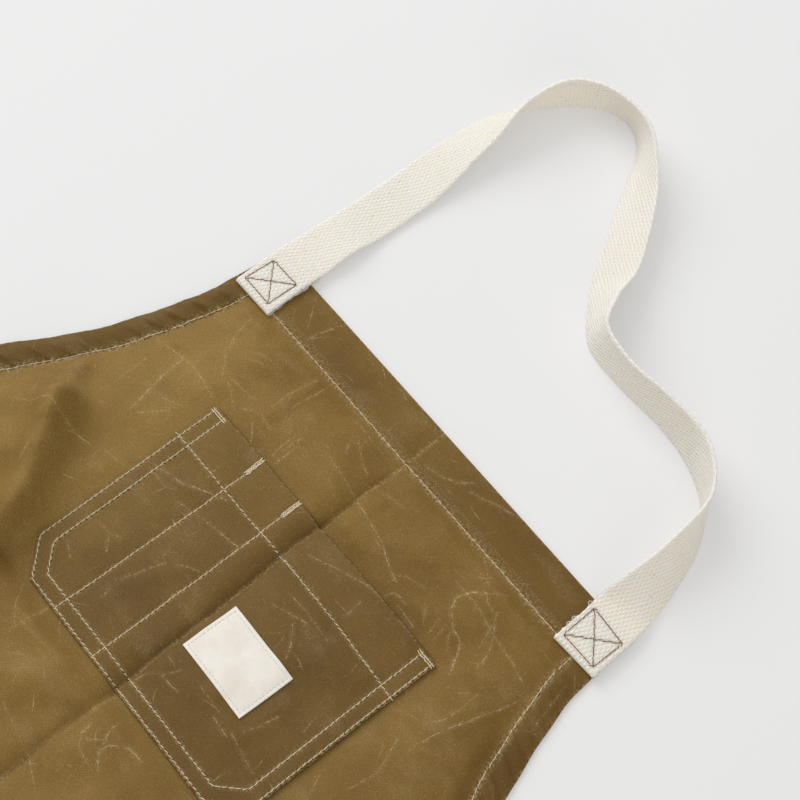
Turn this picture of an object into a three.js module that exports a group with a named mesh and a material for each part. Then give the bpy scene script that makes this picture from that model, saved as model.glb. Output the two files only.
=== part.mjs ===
// A bib apron of waxed canvas, lying on its back with its neck loop spread out above it.
// Millimetres, +Z up. The origin is on the back of the cloth, in the middle of the waist. +Y runs up
// the bib to the neck, and +X runs across the bib, from the strap's flat end to its curled end.

import * as THREE from 'three';

const { smoothstep, degToRad, lerp } = THREE.MathUtils;

// Cloth and webbing
const canvasThick = 1.0;
const hemLayers = 2;
const labelThick = 1.0;
const webbingWidth = 25.4;
const webbingThick = 2.0;
const seatGap = 0.3;

// Panel outline, measured from the waist
const bibRise = 300;
const bibTopHalf = 130;
const waistHalf = 340;
const skirtDrop = 540;

// Hems: depth, the rounded outer fold, and the slope where the cloth comes down from the turned layer
const topHem = 25;
const sideHem = 12.5;
const bottomHem = 25;
const foldRound = 1.5;
const foldEdgeShare = 0.6;
const hemSlope = 4;

// Panel grid
const shareColumns = 42;
const bibRows = 24;
const skirtRows = 7;
const bibGridFrom = 40;

// Folds in the bib. A fold runs straight between two places, given across the bib and down from its
// top edge. The crease down the middle is where the apron was folded in half.
const bibFolds = [
  { fromX: -135, fromDrop: 102, toX: -88, toDrop: 198, height: 5, spread: 12 },
  { fromX: -40, fromDrop: 215, toX: 40, toDrop: 232, height: 2.5, spread: 16 },
  { fromX: 112, fromDrop: 80, toX: 132, toDrop: 190, height: 2.5, spread: 16 },
  { fromX: -100, fromDrop: 36, toX: -60, toDrop: 60, height: 1.6, spread: 16 },
];
const creaseX = -3;
const creaseDepth = 1.2;
const creaseSpread = 14;
const edgeRest = 30;
const waistRestFrom = 20;
const waistRestTo = 90;
const pocketHold = 4;
const pocketRelease = 16;

// Chest pocket
const pocketCentreX = 3.0;
const pocketWidth = 162.8;
const pocketHeight = 117.5;
const pocketDrop = 76.6;
const pocketCorner = 14.5;
const pocketTopHem = 23;
const pocketTurn = 9;
const pocketStraightHalf = 56;
const pocketDividers = [-42.5, -14];
const pocketPuffs = [1.0, 1.0, 2.2];
const pocketPuffRun = 30;
const pocketPanelColumns = [2, 2, 9];
const pocketRows = 8;

// Label
const labelWidth = 43.4;
const labelHeight = 29.4;
const labelX = 27.6;
const labelDrop = 145;
const labelTurn = degToRad(-1.7);
const labelColumns = 7;
const labelRows = 5;

// Webbing routes follow the edge that lies on the outside of the bends. Tilt is 0 lying flat, 90
// standing on that edge and more where it leans outwards. A sewn end is folded under, so it has two
// layers, pressed flatter by its stitches.
const stepsPerStation = 3;
const sewnLayers = 1.7;
const onHem = hemLayers * canvasThick + seatGap;
const neckStations = [
  { x: -128.6, rise: -28, lift: onHem, tilt: 0, layers: sewnLayers },
  { x: -128.8, rise: 0, lift: onHem, tilt: 0, layers: sewnLayers },
  { x: -128.7, rise: 10, lift: 1.8, tilt: 4, layers: 1 },
  { x: -128.4, rise: 25, lift: 0.5, tilt: 10, layers: 1 },
  { x: -128, rise: 46, lift: 0, tilt: 3, layers: 1 },
  { x: -127.4, rise: 75.6, lift: 0, tilt: 6, layers: 1 },
  { x: -127.4, rise: 106, lift: 0, tilt: 24, layers: 1 },
  { x: -124.4, rise: 129.2, lift: 0, tilt: 40, layers: 1 },
  { x: -115.6, rise: 149.2, lift: 0, tilt: 70, layers: 1 },
  { x: -104, rise: 167.4, lift: 0, tilt: 88, layers: 1 },
  { x: -89.7, rise: 180.6, lift: 0, tilt: 84, layers: 1 },
  { x: -74.7, rise: 184, lift: 0, tilt: 83, layers: 1 },
  { x: -60.7, rise: 176.6, lift: 0, tilt: 98, layers: 1 },
  { x: -46.7, rise: 153.6, lift: 0, tilt: 130, layers: 1 },
  { x: -30.7, rise: 126.6, lift: 0, tilt: 145, layers: 1 },
  { x: -20.7, rise: 110.6, lift: 0, tilt: 144, layers: 1 },
  { x: -7.7, rise: 95.6, lift: 0, tilt: 121, layers: 1 },
  { x: 7.3, rise: 83.6, lift: 0, tilt: 105, layers: 1 },
  { x: 31.3, rise: 81, lift: 0, tilt: 97, layers: 1 },
  { x: 59.3, rise: 81.6, lift: 0, tilt: 101, layers: 1 },
  { x: 83.3, rise: 78, lift: 0, tilt: 106, layers: 1 },
  { x: 104.3, rise: 67.6, lift: 0, tilt: 92, layers: 1 },
  { x: 116.5, rise: 52.6, lift: 0, tilt: 70, layers: 1 },
  { x: 124, rise: 33, lift: 0, tilt: 53, layers: 1 },
  { x: 129.2, rise: 14, lift: 1.2, tilt: 28, layers: 1 },
  { x: 131.8, rise: 1, lift: onHem, tilt: 4, layers: sewnLayers },
  { x: 133.2, rise: -27, lift: onHem, tilt: 0, layers: sewnLayers },
];

// A waist tie leaves the corner sideways, turns down on its edge and lies beside the skirt.
const tieStations = [
  { x: 306, rise: -303, lift: onHem, tilt: 0, layers: sewnLayers },
  { x: 339, rise: -303, lift: onHem, tilt: 0, layers: sewnLayers },
  { x: 352, rise: -304, lift: 1.6, tilt: 8, layers: 1 },
  { x: 374, rise: -312, lift: 0, tilt: 45, layers: 1 },
  { x: 390, rise: -331, lift: 0, tilt: 76, layers: 1 },
  { x: 398, rise: -358, lift: 0, tilt: 72, layers: 1 },
  { x: 402, rise: -390, lift: 0, tilt: 34, layers: 1 },
  { x: 404, rise: -430, lift: 0, tilt: 4, layers: 1 },
  { x: 404, rise: -520, lift: 0, tilt: 0, layers: 1 },
  { x: 400, rise: -760, lift: 0, tilt: 0, layers: 1 },
  { x: 394, rise: -970, lift: 0, tilt: 0, layers: 1 },
];
const rightHand = 1;
const leftHand = -1;

// Finishes
const canvasFinish = { color: 0x7d6232, roughness: 0.6, metalness: 0 };
const pocketFinish = { color: 0x6e5834, roughness: 0.6, metalness: 0 };
const webbingFinish = { color: 0xece6d9, roughness: 0.95, metalness: 0 };
const labelFinish = { color: 0xece8e2, roughness: 0.9, metalness: 0 };

// Evenly spaced values from one end to the other, both ends among them.
function spread(from, to, count) {
  return Array.from({ length: count }, (_, place) => lerp(from, to, place / (count - 1)));
}

// Distances from a hemmed edge at which the cloth changes thickness.
function hemSteps(hem) {
  return [0, foldRound, hem - hemSlope / 2, hem + hemSlope / 2];
}

// Layers of cloth at a distance from a hemmed edge, thinned where the outer fold is rounded.
function hemmedLayers(distance, hem) {
  const turned = 1 - smoothstep(distance, hem - hemSlope / 2, hem + hemSlope / 2);
  return 1 + (hemLayers - 1) * turned;
}

function foldedEdge(distance) {
  return lerp(foldEdgeShare, 1, smoothstep(distance, 0, foldRound));
}

// A closed wall between two grids of points. Columns crossed with rows point to the upper grid.
function closedWall(rowCount, columnCount, lowerAt, upperAt) {
  const positions = [];
  for (const pointAt of [lowerAt, upperAt]) {
    for (let row = 0; row < rowCount; row += 1) {
      for (let column = 0; column < columnCount; column += 1) {
        positions.push(...pointAt(row, column).toArray());
      }
    }
  }

  const triangles = [];
  const place = (side, row, column) => (side * rowCount + row) * columnCount + column;
  const quad = (a, b, c, d) => triangles.push(a, b, c, a, c, d);
  for (let row = 0; row < rowCount - 1; row += 1) {
    for (let column = 0; column < columnCount - 1; column += 1) {
      const corners = [[row, column], [row, column + 1], [row + 1, column + 1], [row + 1, column]];
      quad(...corners.map(([r, c]) => place(1, r, c)));
      quad(...corners.reverse().map(([r, c]) => place(0, r, c)));
    }
  }

  const lastRow = rowCount - 1;
  const lastColumn = columnCount - 1;
  const rim = [];
  for (let column = 0; column < lastColumn; column += 1) rim.push([0, column]);
  for (let row = 0; row < lastRow; row += 1) rim.push([row, lastColumn]);
  for (let column = lastColumn; column > 0; column -= 1) rim.push([lastRow, column]);
  for (let row = lastRow; row > 0; row -= 1) rim.push([row, 0]);
  rim.forEach((spot, step) => {
    const next = rim[(step + 1) % rim.length];
    quad(place(0, ...spot), place(0, ...next), place(1, ...next), place(1, ...spot));
  });

  const geometry = new THREE.BufferGeometry();
  geometry.setAttribute('position', new THREE.Float32BufferAttribute(positions, 3));
  geometry.setIndex(triangles);
  geometry.computeVertexNormals();
  return geometry;
}

// A piece of cloth: a grid of places in plan, with the height of its underside and its thickness.
function clothPiece(rowCount, columnCount, placeAt, undersideAt, thicknessAt) {
  const lowerAt = (row, column) => {
    const [x, y] = placeAt(row, column);
    return new THREE.Vector3(x, y, undersideAt(x, y));
  };
  const upperAt = (row, column) => {
    const [x, y] = placeAt(row, column);
    return new THREE.Vector3(x, y, undersideAt(x, y) + thicknessAt(x, y));
  };
  return closedWall(rowCount, columnCount, lowerAt, upperAt);
}

// Panel: half its width at a height, with armholes that curve out from the bib to the waist
function panelHalf(y) {
  const drop = Math.min(bibRise - y, bibRise);
  return bibTopHalf + (waistHalf - bibTopHalf) * (drop / bibRise) ** 2;
}

// How much longer a level line across a side hem is than the hem is deep, on the curved armhole.
function sideLean(y) {
  const slope = y > 0 ? (2 * (waistHalf - bibTopHalf) * (bibRise - y)) / bibRise ** 2 : 0;
  return Math.hypot(1, slope);
}

function edgeDistances(x, y) {
  return {
    side: (panelHalf(y) - Math.abs(x)) / sideLean(y),
    top: bibRise - y,
    bottom: y + skirtDrop,
  };
}

// How far a place lies outside the pocket, which holds the cloth under it flat.
function pocketDistance(x, y) {
  const beside = Math.max(0, Math.abs(x - pocketCentreX) - pocketHalf);
  const beyond = Math.max(0, pocketBottom - y, y - pocketTop);
  return Math.hypot(beside, beyond);
}

// Height of the panel's back above the surface: its hems lie on it, and so does the plain skirt.
function panelLift(x, y) {
  const { side, top } = edgeDistances(x, y);
  const inside = smoothstep(side, sideHem, sideHem + edgeRest) * smoothstep(top, topHem, topHem + edgeRest);
  const aboveWaist = smoothstep(y, waistRestFrom, waistRestTo);
  const freeOfPocket = smoothstep(pocketDistance(x, y), pocketHold, pocketHold + pocketRelease);
  const place = new THREE.Vector3(x, y, 0);
  const nearest = new THREE.Vector3();
  let lift = creaseDepth * (1 - Math.exp(-(((x - creaseX) / creaseSpread) ** 2)));
  for (const fold of bibFolds) {
    const from = new THREE.Vector3(fold.fromX, bibRise - fold.fromDrop, 0);
    const to = new THREE.Vector3(fold.toX, bibRise - fold.toDrop, 0);
    new THREE.Line3(from, to).closestPointToPoint(place, true, nearest);
    const ridge = Math.exp(-((nearest.distanceTo(place) / fold.spread) ** 2));
    lift += fold.height * ridge * freeOfPocket;
  }
  return lift * inside * aboveWaist;
}

function panelThickness(x, y) {
  const { side, top, bottom } = edgeDistances(x, y);
  const layers = Math.max(
    hemmedLayers(side, sideHem),
    hemmedLayers(top, topHem),
    hemmedLayers(bottom, bottomHem),
  );
  return canvasThick * layers * foldedEdge(Math.min(side, top, bottom));
}

function panelFront(x, y) {
  return panelLift(x, y) + panelThickness(x, y);
}

function makePanel() {
  const sideSteps = hemSteps(sideHem);
  const innerInset = sideSteps.at(-1);
  const innerShares = spread(-1, 1, shareColumns).slice(1, -1);
  const columns = [
    ...sideSteps.map((inset) => ({ share: -1, inset })),
    ...innerShares.map((share) => ({ share, inset: innerInset })),
    ...sideSteps.toReversed().map((inset) => ({ share: 1, inset })),
  ];
  const lowRows = hemSteps(bottomHem).map((inset) => inset - skirtDrop);
  const highRows = hemSteps(topHem).toReversed().map((inset) => bibRise - inset);
  const rows = [
    ...lowRows,
    ...spread(lowRows.at(-1), 0, skirtRows).slice(1),
    ...spread(bibGridFrom, highRows[0], bibRows).slice(0, -1),
    ...highRows,
  ];
  const placeAt = (row, column) => {
    const y = rows[row];
    const { share, inset } = columns[column];
    return [share * (panelHalf(y) - inset * sideLean(y)), y];
  };
  return clothPiece(rows.length, columns.length, placeAt, panelLift, panelThickness);
}

// Pocket: its edges, with both bottom corners cut off
const pocketTop = bibRise - pocketDrop;
const pocketBottom = pocketTop - pocketHeight;
const pocketHalf = pocketWidth / 2;

function pocketHalfAt(y) {
  return pocketHalf - Math.max(0, pocketCorner - (y - pocketBottom));
}

function pocketEdgeDistances(x, y) {
  return {
    side: pocketHalfAt(y) - Math.abs(x - pocketCentreX),
    top: pocketTop - y,
    bottom: y - pocketBottom,
  };
}

// The sewn lines that the pocket's three parts swell between, from left to right
const pocketSewnLines = [
  pocketCentreX - pocketHalf + pocketTurn,
  ...pocketDividers,
  pocketCentreX + pocketHalf - pocketTurn,
];

function pocketUnderside(x, y) {
  const { bottom } = pocketEdgeDistances(x, y);
  const swell = smoothstep(bottom, pocketTurn, pocketTurn + pocketPuffRun);
  let puff = 0;
  pocketPuffs.forEach((height, part) => {
    const left = pocketSewnLines[part];
    const right = pocketSewnLines[part + 1];
    if (x > left && x < right) {
      puff = height * swell * Math.sin((Math.PI * (x - left)) / (right - left));
    }
  });
  return panelFront(x, y) + seatGap + puff;
}

function pocketThickness(x, y) {
  const { side, top, bottom } = pocketEdgeDistances(x, y);
  const layers = Math.max(
    hemmedLayers(side, pocketTurn),
    hemmedLayers(top, pocketTopHem),
    hemmedLayers(bottom, pocketTurn),
  );
  return canvasThick * layers * foldedEdge(Math.min(side, top, bottom));
}

function makePocket() {
  const turnSteps = hemSteps(pocketTurn);
  const partColumns = pocketPanelColumns.flatMap((count, part) => {
    const left = part === 0 ? pocketCentreX - pocketHalf + turnSteps.at(-1) : pocketSewnLines[part];
    const lastPart = part === pocketPanelColumns.length - 1;
    const right = lastPart ? pocketCentreX + pocketHalf - turnSteps.at(-1) : pocketSewnLines[part + 1];
    return spread(left, right, count + 1).slice(part === 0 ? 0 : 1);
  });
  const columns = [
    ...turnSteps.slice(0, -1).map((inset) => pocketCentreX - pocketHalf + inset),
    ...partColumns,
    ...turnSteps.toReversed().slice(1).map((inset) => pocketCentreX + pocketHalf - inset),
  ];
  const lowRows = turnSteps.map((inset) => pocketBottom + inset);
  const cornerRow = pocketBottom + pocketCorner;
  const highRows = hemSteps(pocketTopHem).toReversed().map((inset) => pocketTop - inset);
  const rows = [...lowRows, ...spread(cornerRow, highRows[0], pocketRows).slice(0, -1), ...highRows];

  // The columns near the sides close up as the cut corners come in.
  const placeAt = (row, column) => {
    const y = rows[row];
    const across = columns[column] - pocketCentreX;
    const beyond = Math.max(0, Math.abs(across) - pocketStraightHalf);
    const room = (pocketHalfAt(y) - pocketStraightHalf) / (pocketHalf - pocketStraightHalf);
    return [pocketCentreX + across - Math.sign(across) * beyond * (1 - room), y];
  };
  return clothPiece(rows.length, columns.length, placeAt, pocketUnderside, pocketThickness);
}

// Label: a small turned rectangle that follows the pocket's front
function makeLabel() {
  const columns = spread(-labelWidth / 2, labelWidth / 2, labelColumns);
  const rows = spread(-labelHeight / 2, labelHeight / 2, labelRows);
  const centre = new THREE.Vector2(labelX, bibRise - labelDrop);
  const placeAt = (row, column) => {
    const spot = new THREE.Vector2(columns[column], rows[row]).rotateAround(new THREE.Vector2(), labelTurn);
    return spot.add(centre).toArray();
  };
  const undersideAt = (x, y) => pocketUnderside(x, y) + pocketThickness(x, y) + seatGap;
  return clothPiece(rows.length, columns.length, placeAt, undersideAt, () => labelThick);
}

// Webbing: a flat band along the route of one edge; the hand says which way its bends turn
function makeWebbing(stations, hand) {
  const edgePoints = stations.map(({ x, rise }) => new THREE.Vector3(hand * x, bibRise + rise, 0));
  const poses = stations.map(({ tilt, lift, layers }) => new THREE.Vector3(tilt, lift, layers));
  const route = new THREE.CatmullRomCurve3(edgePoints);
  const pose = new THREE.CatmullRomCurve3(poses, false, 'catmullrom');
  const upwards = new THREE.Vector3(0, 0, 1);
  const sections = spread(0, 1, (stations.length - 1) * stepsPerStation + 1).map((share) => {
    const [tiltDegrees, lift, layers] = pose.getPoint(share).toArray().map((value) => Math.max(0, value));
    const tilt = degToRad(tiltDegrees);
    const heading = route.getTangent(share);
    const inward = heading.clone().cross(upwards).multiplyScalar(hand);
    const across = inward.multiplyScalar(Math.cos(tilt)).addScaledVector(upwards, Math.sin(tilt));
    const halfLayer = across.clone().cross(heading).multiplyScalar((layers * webbingThick) / 2);
    const edge = route.getPoint(share);
    edge.z = lift + Math.abs(halfLayer.z);
    return { edge, across, halfLayer };
  });
  const middleAt = ({ edge, across }, side) => edge.clone().addScaledVector(across, side * webbingWidth);
  const lowerAt = (row, side) => middleAt(sections[row], side).sub(sections[row].halfLayer);
  const upperAt = (row, side) => middleAt(sections[row], side).add(sections[row].halfLayer);
  return closedWall(sections.length, 2, lowerAt, upperAt);
}

// Assembly
const apron = new THREE.Group();

function addPiece(name, geometry, finish) {
  const piece = new THREE.Mesh(geometry, new THREE.MeshStandardMaterial(finish));
  piece.name = name;
  apron.add(piece);
}

addPiece('apron_body', makePanel(), canvasFinish);
addPiece('chest_pocket', makePocket(), pocketFinish);
addPiece('label', makeLabel(), labelFinish);
addPiece('neck_strap', makeWebbing(neckStations, rightHand), webbingFinish);
addPiece('waist_tie_right', makeWebbing(tieStations, rightHand), webbingFinish);
addPiece('waist_tie_left', makeWebbing(tieStations, leftHand), webbingFinish);

export default apron;
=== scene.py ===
import itertools
import math

import bpy
import numpy as np
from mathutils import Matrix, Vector


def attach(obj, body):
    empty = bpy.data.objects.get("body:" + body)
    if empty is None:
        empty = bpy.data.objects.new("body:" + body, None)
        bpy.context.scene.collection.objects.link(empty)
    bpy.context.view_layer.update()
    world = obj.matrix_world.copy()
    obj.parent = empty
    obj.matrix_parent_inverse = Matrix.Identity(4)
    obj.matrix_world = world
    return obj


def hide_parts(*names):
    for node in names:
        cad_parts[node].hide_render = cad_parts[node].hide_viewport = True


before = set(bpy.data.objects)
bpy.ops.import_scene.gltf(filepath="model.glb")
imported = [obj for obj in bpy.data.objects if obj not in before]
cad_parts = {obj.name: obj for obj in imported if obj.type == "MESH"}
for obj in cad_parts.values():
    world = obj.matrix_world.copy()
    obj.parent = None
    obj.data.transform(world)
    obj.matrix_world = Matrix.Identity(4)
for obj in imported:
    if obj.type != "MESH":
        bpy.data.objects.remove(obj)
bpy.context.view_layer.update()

# Canvas panel
# Bib and skirt are one cut of waxed cotton canvas, turned under and sewn along every edge. It lies on
# its back. A crease down the middle and some soft folds are left from the time it was stored folded.
mm = 0.001
bib_drop = 300.0
bib_top_half = 130.0
waist_half = 340.0
panel_length = 840.0
canvas_thick = 1.0
top_hem = 25.0
side_hem = 13.6
bottom_hem = 25.0
hem_slope = 4.0
fold_round = 1.1
side_row_inset = 13.0
top_row_drop = 24.6
bottom_row_drop = panel_length - 24.6
crease_depth = 3.7
hem_crease_depth = 0.9
pocket_centre = 3.0
pocket_half = 81.4
pocket_top = 76.6
pocket_bottom = 194.1
tie_end = 304.0
tie_drop = 315.7
tie_half = 14.0

# Soft folds: both ends (across, and down from the bib's top edge), height, and how far each flank
# runs out, on the left and on the right of someone who walks from the first end to the second.
panel_folds = [
    ((-143, 107), (-118, 142), 4.5, 5.5, 9),
    ((-122, 133), (-80, 196), 18.0, 8, 14),
    ((-157, 121), (-123, 168), 2.6, 9, 8),
    ((-40, 215), (40, 232), 2.2, 15, 15),
    ((112, 80), (132, 190), 2.2, 15, 15),
    ((-100, 36), (-64, 58), 1.3, 14, 14),
    ((-58.5, 29), (-57.5, 61), 2.0, 3.2, 4.2),
    ((-124, 73), (-102, 63), 1.6, 6, 4.5),
    ((-30, 44), (-10, 58), 0.7, 9, 9),
    ((30, 34), (62, 62), 0.8, 12, 10),
    ((72, 36), (100, 52), 0.9, 10, 9),
    ((118, 62), (130, 72), 1.0, 5, 4),
    ((108, 96), (118, 62), 0.8, 6, 6),
    ((96, 118), (104, 168), 1.1, 8, 10),
    ((-102, 84), (-98, 122), 0.7, 9, 9),
    ((8, 206), (34, 222), 0.9, 7, 7),
    ((-60, 200), (-20, 212), 0.9, 8, 8),
]

# The middle crease wanders a little: places down the panel, how far across it lies there, and how high
# the cloth swells on the left of it.
crease_drops = [0, 30, 48, 62, 76, 90, 115, 140, 175, 205, 300, 840]
crease_places = [-1.6, -1.2, -0.8, 0.4, 0.0, -0.4, 0.8, 2.0, 2.1, 4.4, 4.0, 1.0]
crease_swells = [3.0, -1.0, -0.6, 1.4, 2.0, 2.2, 2.2, 0.9, 0.9, 1.0, 0.6, 0.4]


# Smaller creases scattered by handling, each steep on one flank and long on the other.
def scattered_folds(seed, count, across, down, tallest):
    random = np.random.default_rng(seed)
    folds = []
    for _ in range(count):
        start = (random.uniform(*across), random.uniform(*down))
        heading = random.uniform(0.0, math.tau)
        reach = random.uniform(14.0, 46.0)
        stop = (start[0] + reach * math.cos(heading), start[1] + reach * math.sin(heading))
        height = tallest * random.uniform(0.4, 1.0)
        folds.append((start, stop, height, random.uniform(2.6, 4.5), random.uniform(6.0, 12.0)))
    return folds


panel_folds += scattered_folds(17, 32, (-165.0, 150.0), (30.0, 230.0), 1.4)


def smooth(value, low, high):
    share = np.clip((value - low) / (high - low), 0.0, 1.0)
    return share * share * (3.0 - 2.0 * share)


def panel_half(drop):
    unevenness = 0.3 * np.sin(drop / 8.7) + 0.22 * np.sin(drop / 4.1 + 1.0)
    curve = (waist_half - bib_top_half) * (np.clip(drop, 0.0, bib_drop) / bib_drop) ** 2
    return bib_top_half + curve + unevenness * (1.0 - smooth(drop, bib_drop - 40.0, bib_drop))


# The slope of the side, times how much the left hem widens down the bib.
def side_lean(x, drop):
    slope = 2.0 * (waist_half - bib_top_half) * np.clip(drop, 0.0, bib_drop) / bib_drop**2
    widening = np.where(x < 0.0, 0.16, 0.0) * smooth(drop, 90.0, 180.0) * (1.0 - smooth(drop, 230.0, 290.0))
    return (1.0 + widening) * np.hypot(1.0, np.where(drop < bib_drop, slope, 0.0))


def side_inset(x, drop):
    return (panel_half(drop) - np.abs(x)) / side_lean(x, drop)


def turned_under(inset, hem):
    return 1.0 - smooth(inset, hem - hem_slope / 2, hem + hem_slope / 2)


def rounded_fold(inset, radius):
    return np.sqrt(1.0 - (1.0 - np.clip(inset / radius, 0.0, 1.0)) ** 2)


def soft_fold(x, drop, first, last, height, left_run, right_run):
    run = np.subtract(last, first).astype(float)
    length = np.hypot(*run)
    along = ((x - first[0]) * run[0] + (drop - first[1]) * run[1]) / length
    across = ((x - first[0]) * run[1] - (drop - first[1]) * run[0]) / length
    flank = np.where(across > 0.0, left_run, right_run)
    beyond = np.maximum(0.0, np.maximum(-along, along - length)) / (0.8 * (left_run + right_run) / 2)
    return height * np.exp(-((across / flank) ** 2) - beyond**2)


def crease_valley(x, drop):
    across = x - np.interp(drop, crease_drops, crease_places)
    right_side = 0.6 * np.exp(-across / 1.6) + 0.4 * np.exp(-across / 8.0)
    return np.where(across < 0.0, np.exp(across / 4.2), right_side)


def crease_swell(x, drop):
    across = x - np.interp(drop, crease_drops, crease_places)
    return np.interp(drop, crease_drops, crease_swells) * np.exp(-(((across + 8.0) / 9.0) ** 2))


def waves(x, drop, seed, count, longest, shortest):
    random = np.random.default_rng(seed)
    total = np.zeros_like(x)
    for _ in range(count):
        length = random.uniform(shortest, longest)
        heading = random.uniform(0.0, math.tau)
        phase = random.uniform(0.0, math.tau)
        total += np.sin((x * math.cos(heading) + drop * math.sin(heading)) * math.tau / length + phase)
    return total / math.sqrt(count)


def outside_pocket(x, drop):
    beside = np.maximum(0.0, np.abs(x - pocket_centre) - pocket_half)
    beyond = np.maximum(0.0, np.maximum(pocket_top - drop, drop - pocket_bottom))
    return np.hypot(beside, beyond)


# How far a place is from the sewn ends of the waist ties.
def outside_ties(x, drop):
    beside = np.maximum(0.0, tie_end - np.abs(x))
    beyond = np.maximum(0.0, np.abs(drop - tie_drop) - tie_half)
    return np.hypot(beside, beyond)


def hem_pucker(x, drop):
    inset = side_inset(x, drop)
    along = drop * 1.12 + np.where(x > 0.0, 37.0, 0.0)
    slanted = along + 0.6 * inset
    ripple = np.sin(slanted * math.tau / 11.2 + 1.9 * np.sin(along / 17.0))
    ripple += 0.5 * np.sin(slanted * math.tau / 5.3 + 1.3 * np.sin(along / 9.0))
    depth = 3.1 + 1.2 * np.sin(along / 29.0 + 0.8)
    pucker = depth * np.maximum(0.0, 0.5 + 0.34 * ripple) ** 1.3 * np.exp(-(((inset - 7.5) / 5.5) ** 2))
    roll = np.where(x > 0.0, 0.2, 0.8) * smooth(inset, 0.3, 4.5) * (1.0 - smooth(inset, 5.0, side_row_inset))
    return (pucker + roll) * smooth(drop, 26.0, 37.0) * (1.0 - smooth(drop, 205.0, 240.0))


# The cloth keeps a low ridge or dent along each mark in its wax.
def kinks(x, drop, marks):
    total = np.zeros_like(x)
    for number, (strength, points) in enumerate(marks):
        away = np.min([stretch_to(x, drop, *ends)[1] for ends in zip(points, points[1:])], axis=0)
        height = -0.45 if number % 3 == 2 else 0.65
        total += height * strength * np.maximum(0.0, 1.0 - away / 5.5) ** 1.5
    return total


def panel_lift(x, drop):
    inset = side_inset(x, drop)
    level = smooth(inset, side_hem - 4.0, side_hem + np.where(x > 0.0, 52.0, 30.0))
    level *= smooth(drop, top_hem - 4.0, top_hem + 26.0)
    level *= smooth(panel_length - drop, bottom_hem - 4.0, bottom_hem + 45.0)
    loose = smooth(inset, side_hem - 1.5, side_hem + 9.0) * smooth(drop, top_hem, top_hem + 9.0)
    loose *= smooth(panel_length - drop, bottom_hem, bottom_hem + 45.0)
    free = smooth(outside_pocket(x, drop), 0.5, 12.0)
    skirt = smooth(drop, 250.0, 420.0) * smooth(panel_length - drop, bottom_hem, 120.0)
    folds = np.zeros_like(x)
    for fold in panel_folds:
        folds += soft_fold(x, drop, *fold)
    rolling = (2.0 + 1.5 * waves(x, drop, 11, 12, 84.0, 24.0)) * (1.0 - 0.5 * smooth(drop, 250.0, 360.0))
    edge = np.minimum(np.minimum(inset, drop), panel_length - drop)
    hem_depth = (hem_crease_depth + crease_swell(x, drop)) * smooth(edge, 0.0, 14.0)
    lift = (level * crease_depth + hem_depth) * (1.0 - crease_valley(x, drop))
    lift += free * loose * (folds + np.maximum(0.0, rolling))
    lift += skirt * smooth(inset, side_hem, 90.0) * (1.5 + 0.8 * waves(x, drop, 5, 6, 260.0, 110.0))
    lift += free * smooth(np.minimum(inset, drop), 2.0, 9.0) * kinks(x, drop, panel_marks)
    clear = smooth(outside_ties(x, drop), 1.0, 22.0)
    held = 1.2 * smooth(inset, side_hem - 2.0, side_hem + 4.0)
    return np.maximum(0.0, lift + hem_pucker(x, drop)) * clear + held * (1.0 - clear)


def panel_thick(x, drop):
    turned = np.maximum(turned_under(side_inset(x, drop), side_hem), turned_under(drop, top_hem))
    turned = np.maximum(turned, turned_under(panel_length - drop, bottom_hem))
    return canvas_thick * (1.0 + turned)


def panel_sides(x, drop):
    thick = panel_thick(x, drop)
    edge = np.minimum(np.minimum(side_inset(x, drop), drop), panel_length - drop)
    half = rounded_fold(edge, fold_round) * thick / 2
    middle = panel_lift(x, drop) + thick / 2
    sewn = np.exp(-(((side_inset(x, drop) - side_row_inset) / 0.8) ** 2))
    sewn = np.maximum(sewn, np.exp(-(((drop - top_row_drop) / 0.8) ** 2)))
    sewn = np.maximum(sewn, np.exp(-(((drop - bottom_row_drop) / 0.8) ** 2)))
    return middle - half, middle + half - 0.35 * sewn


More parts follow.
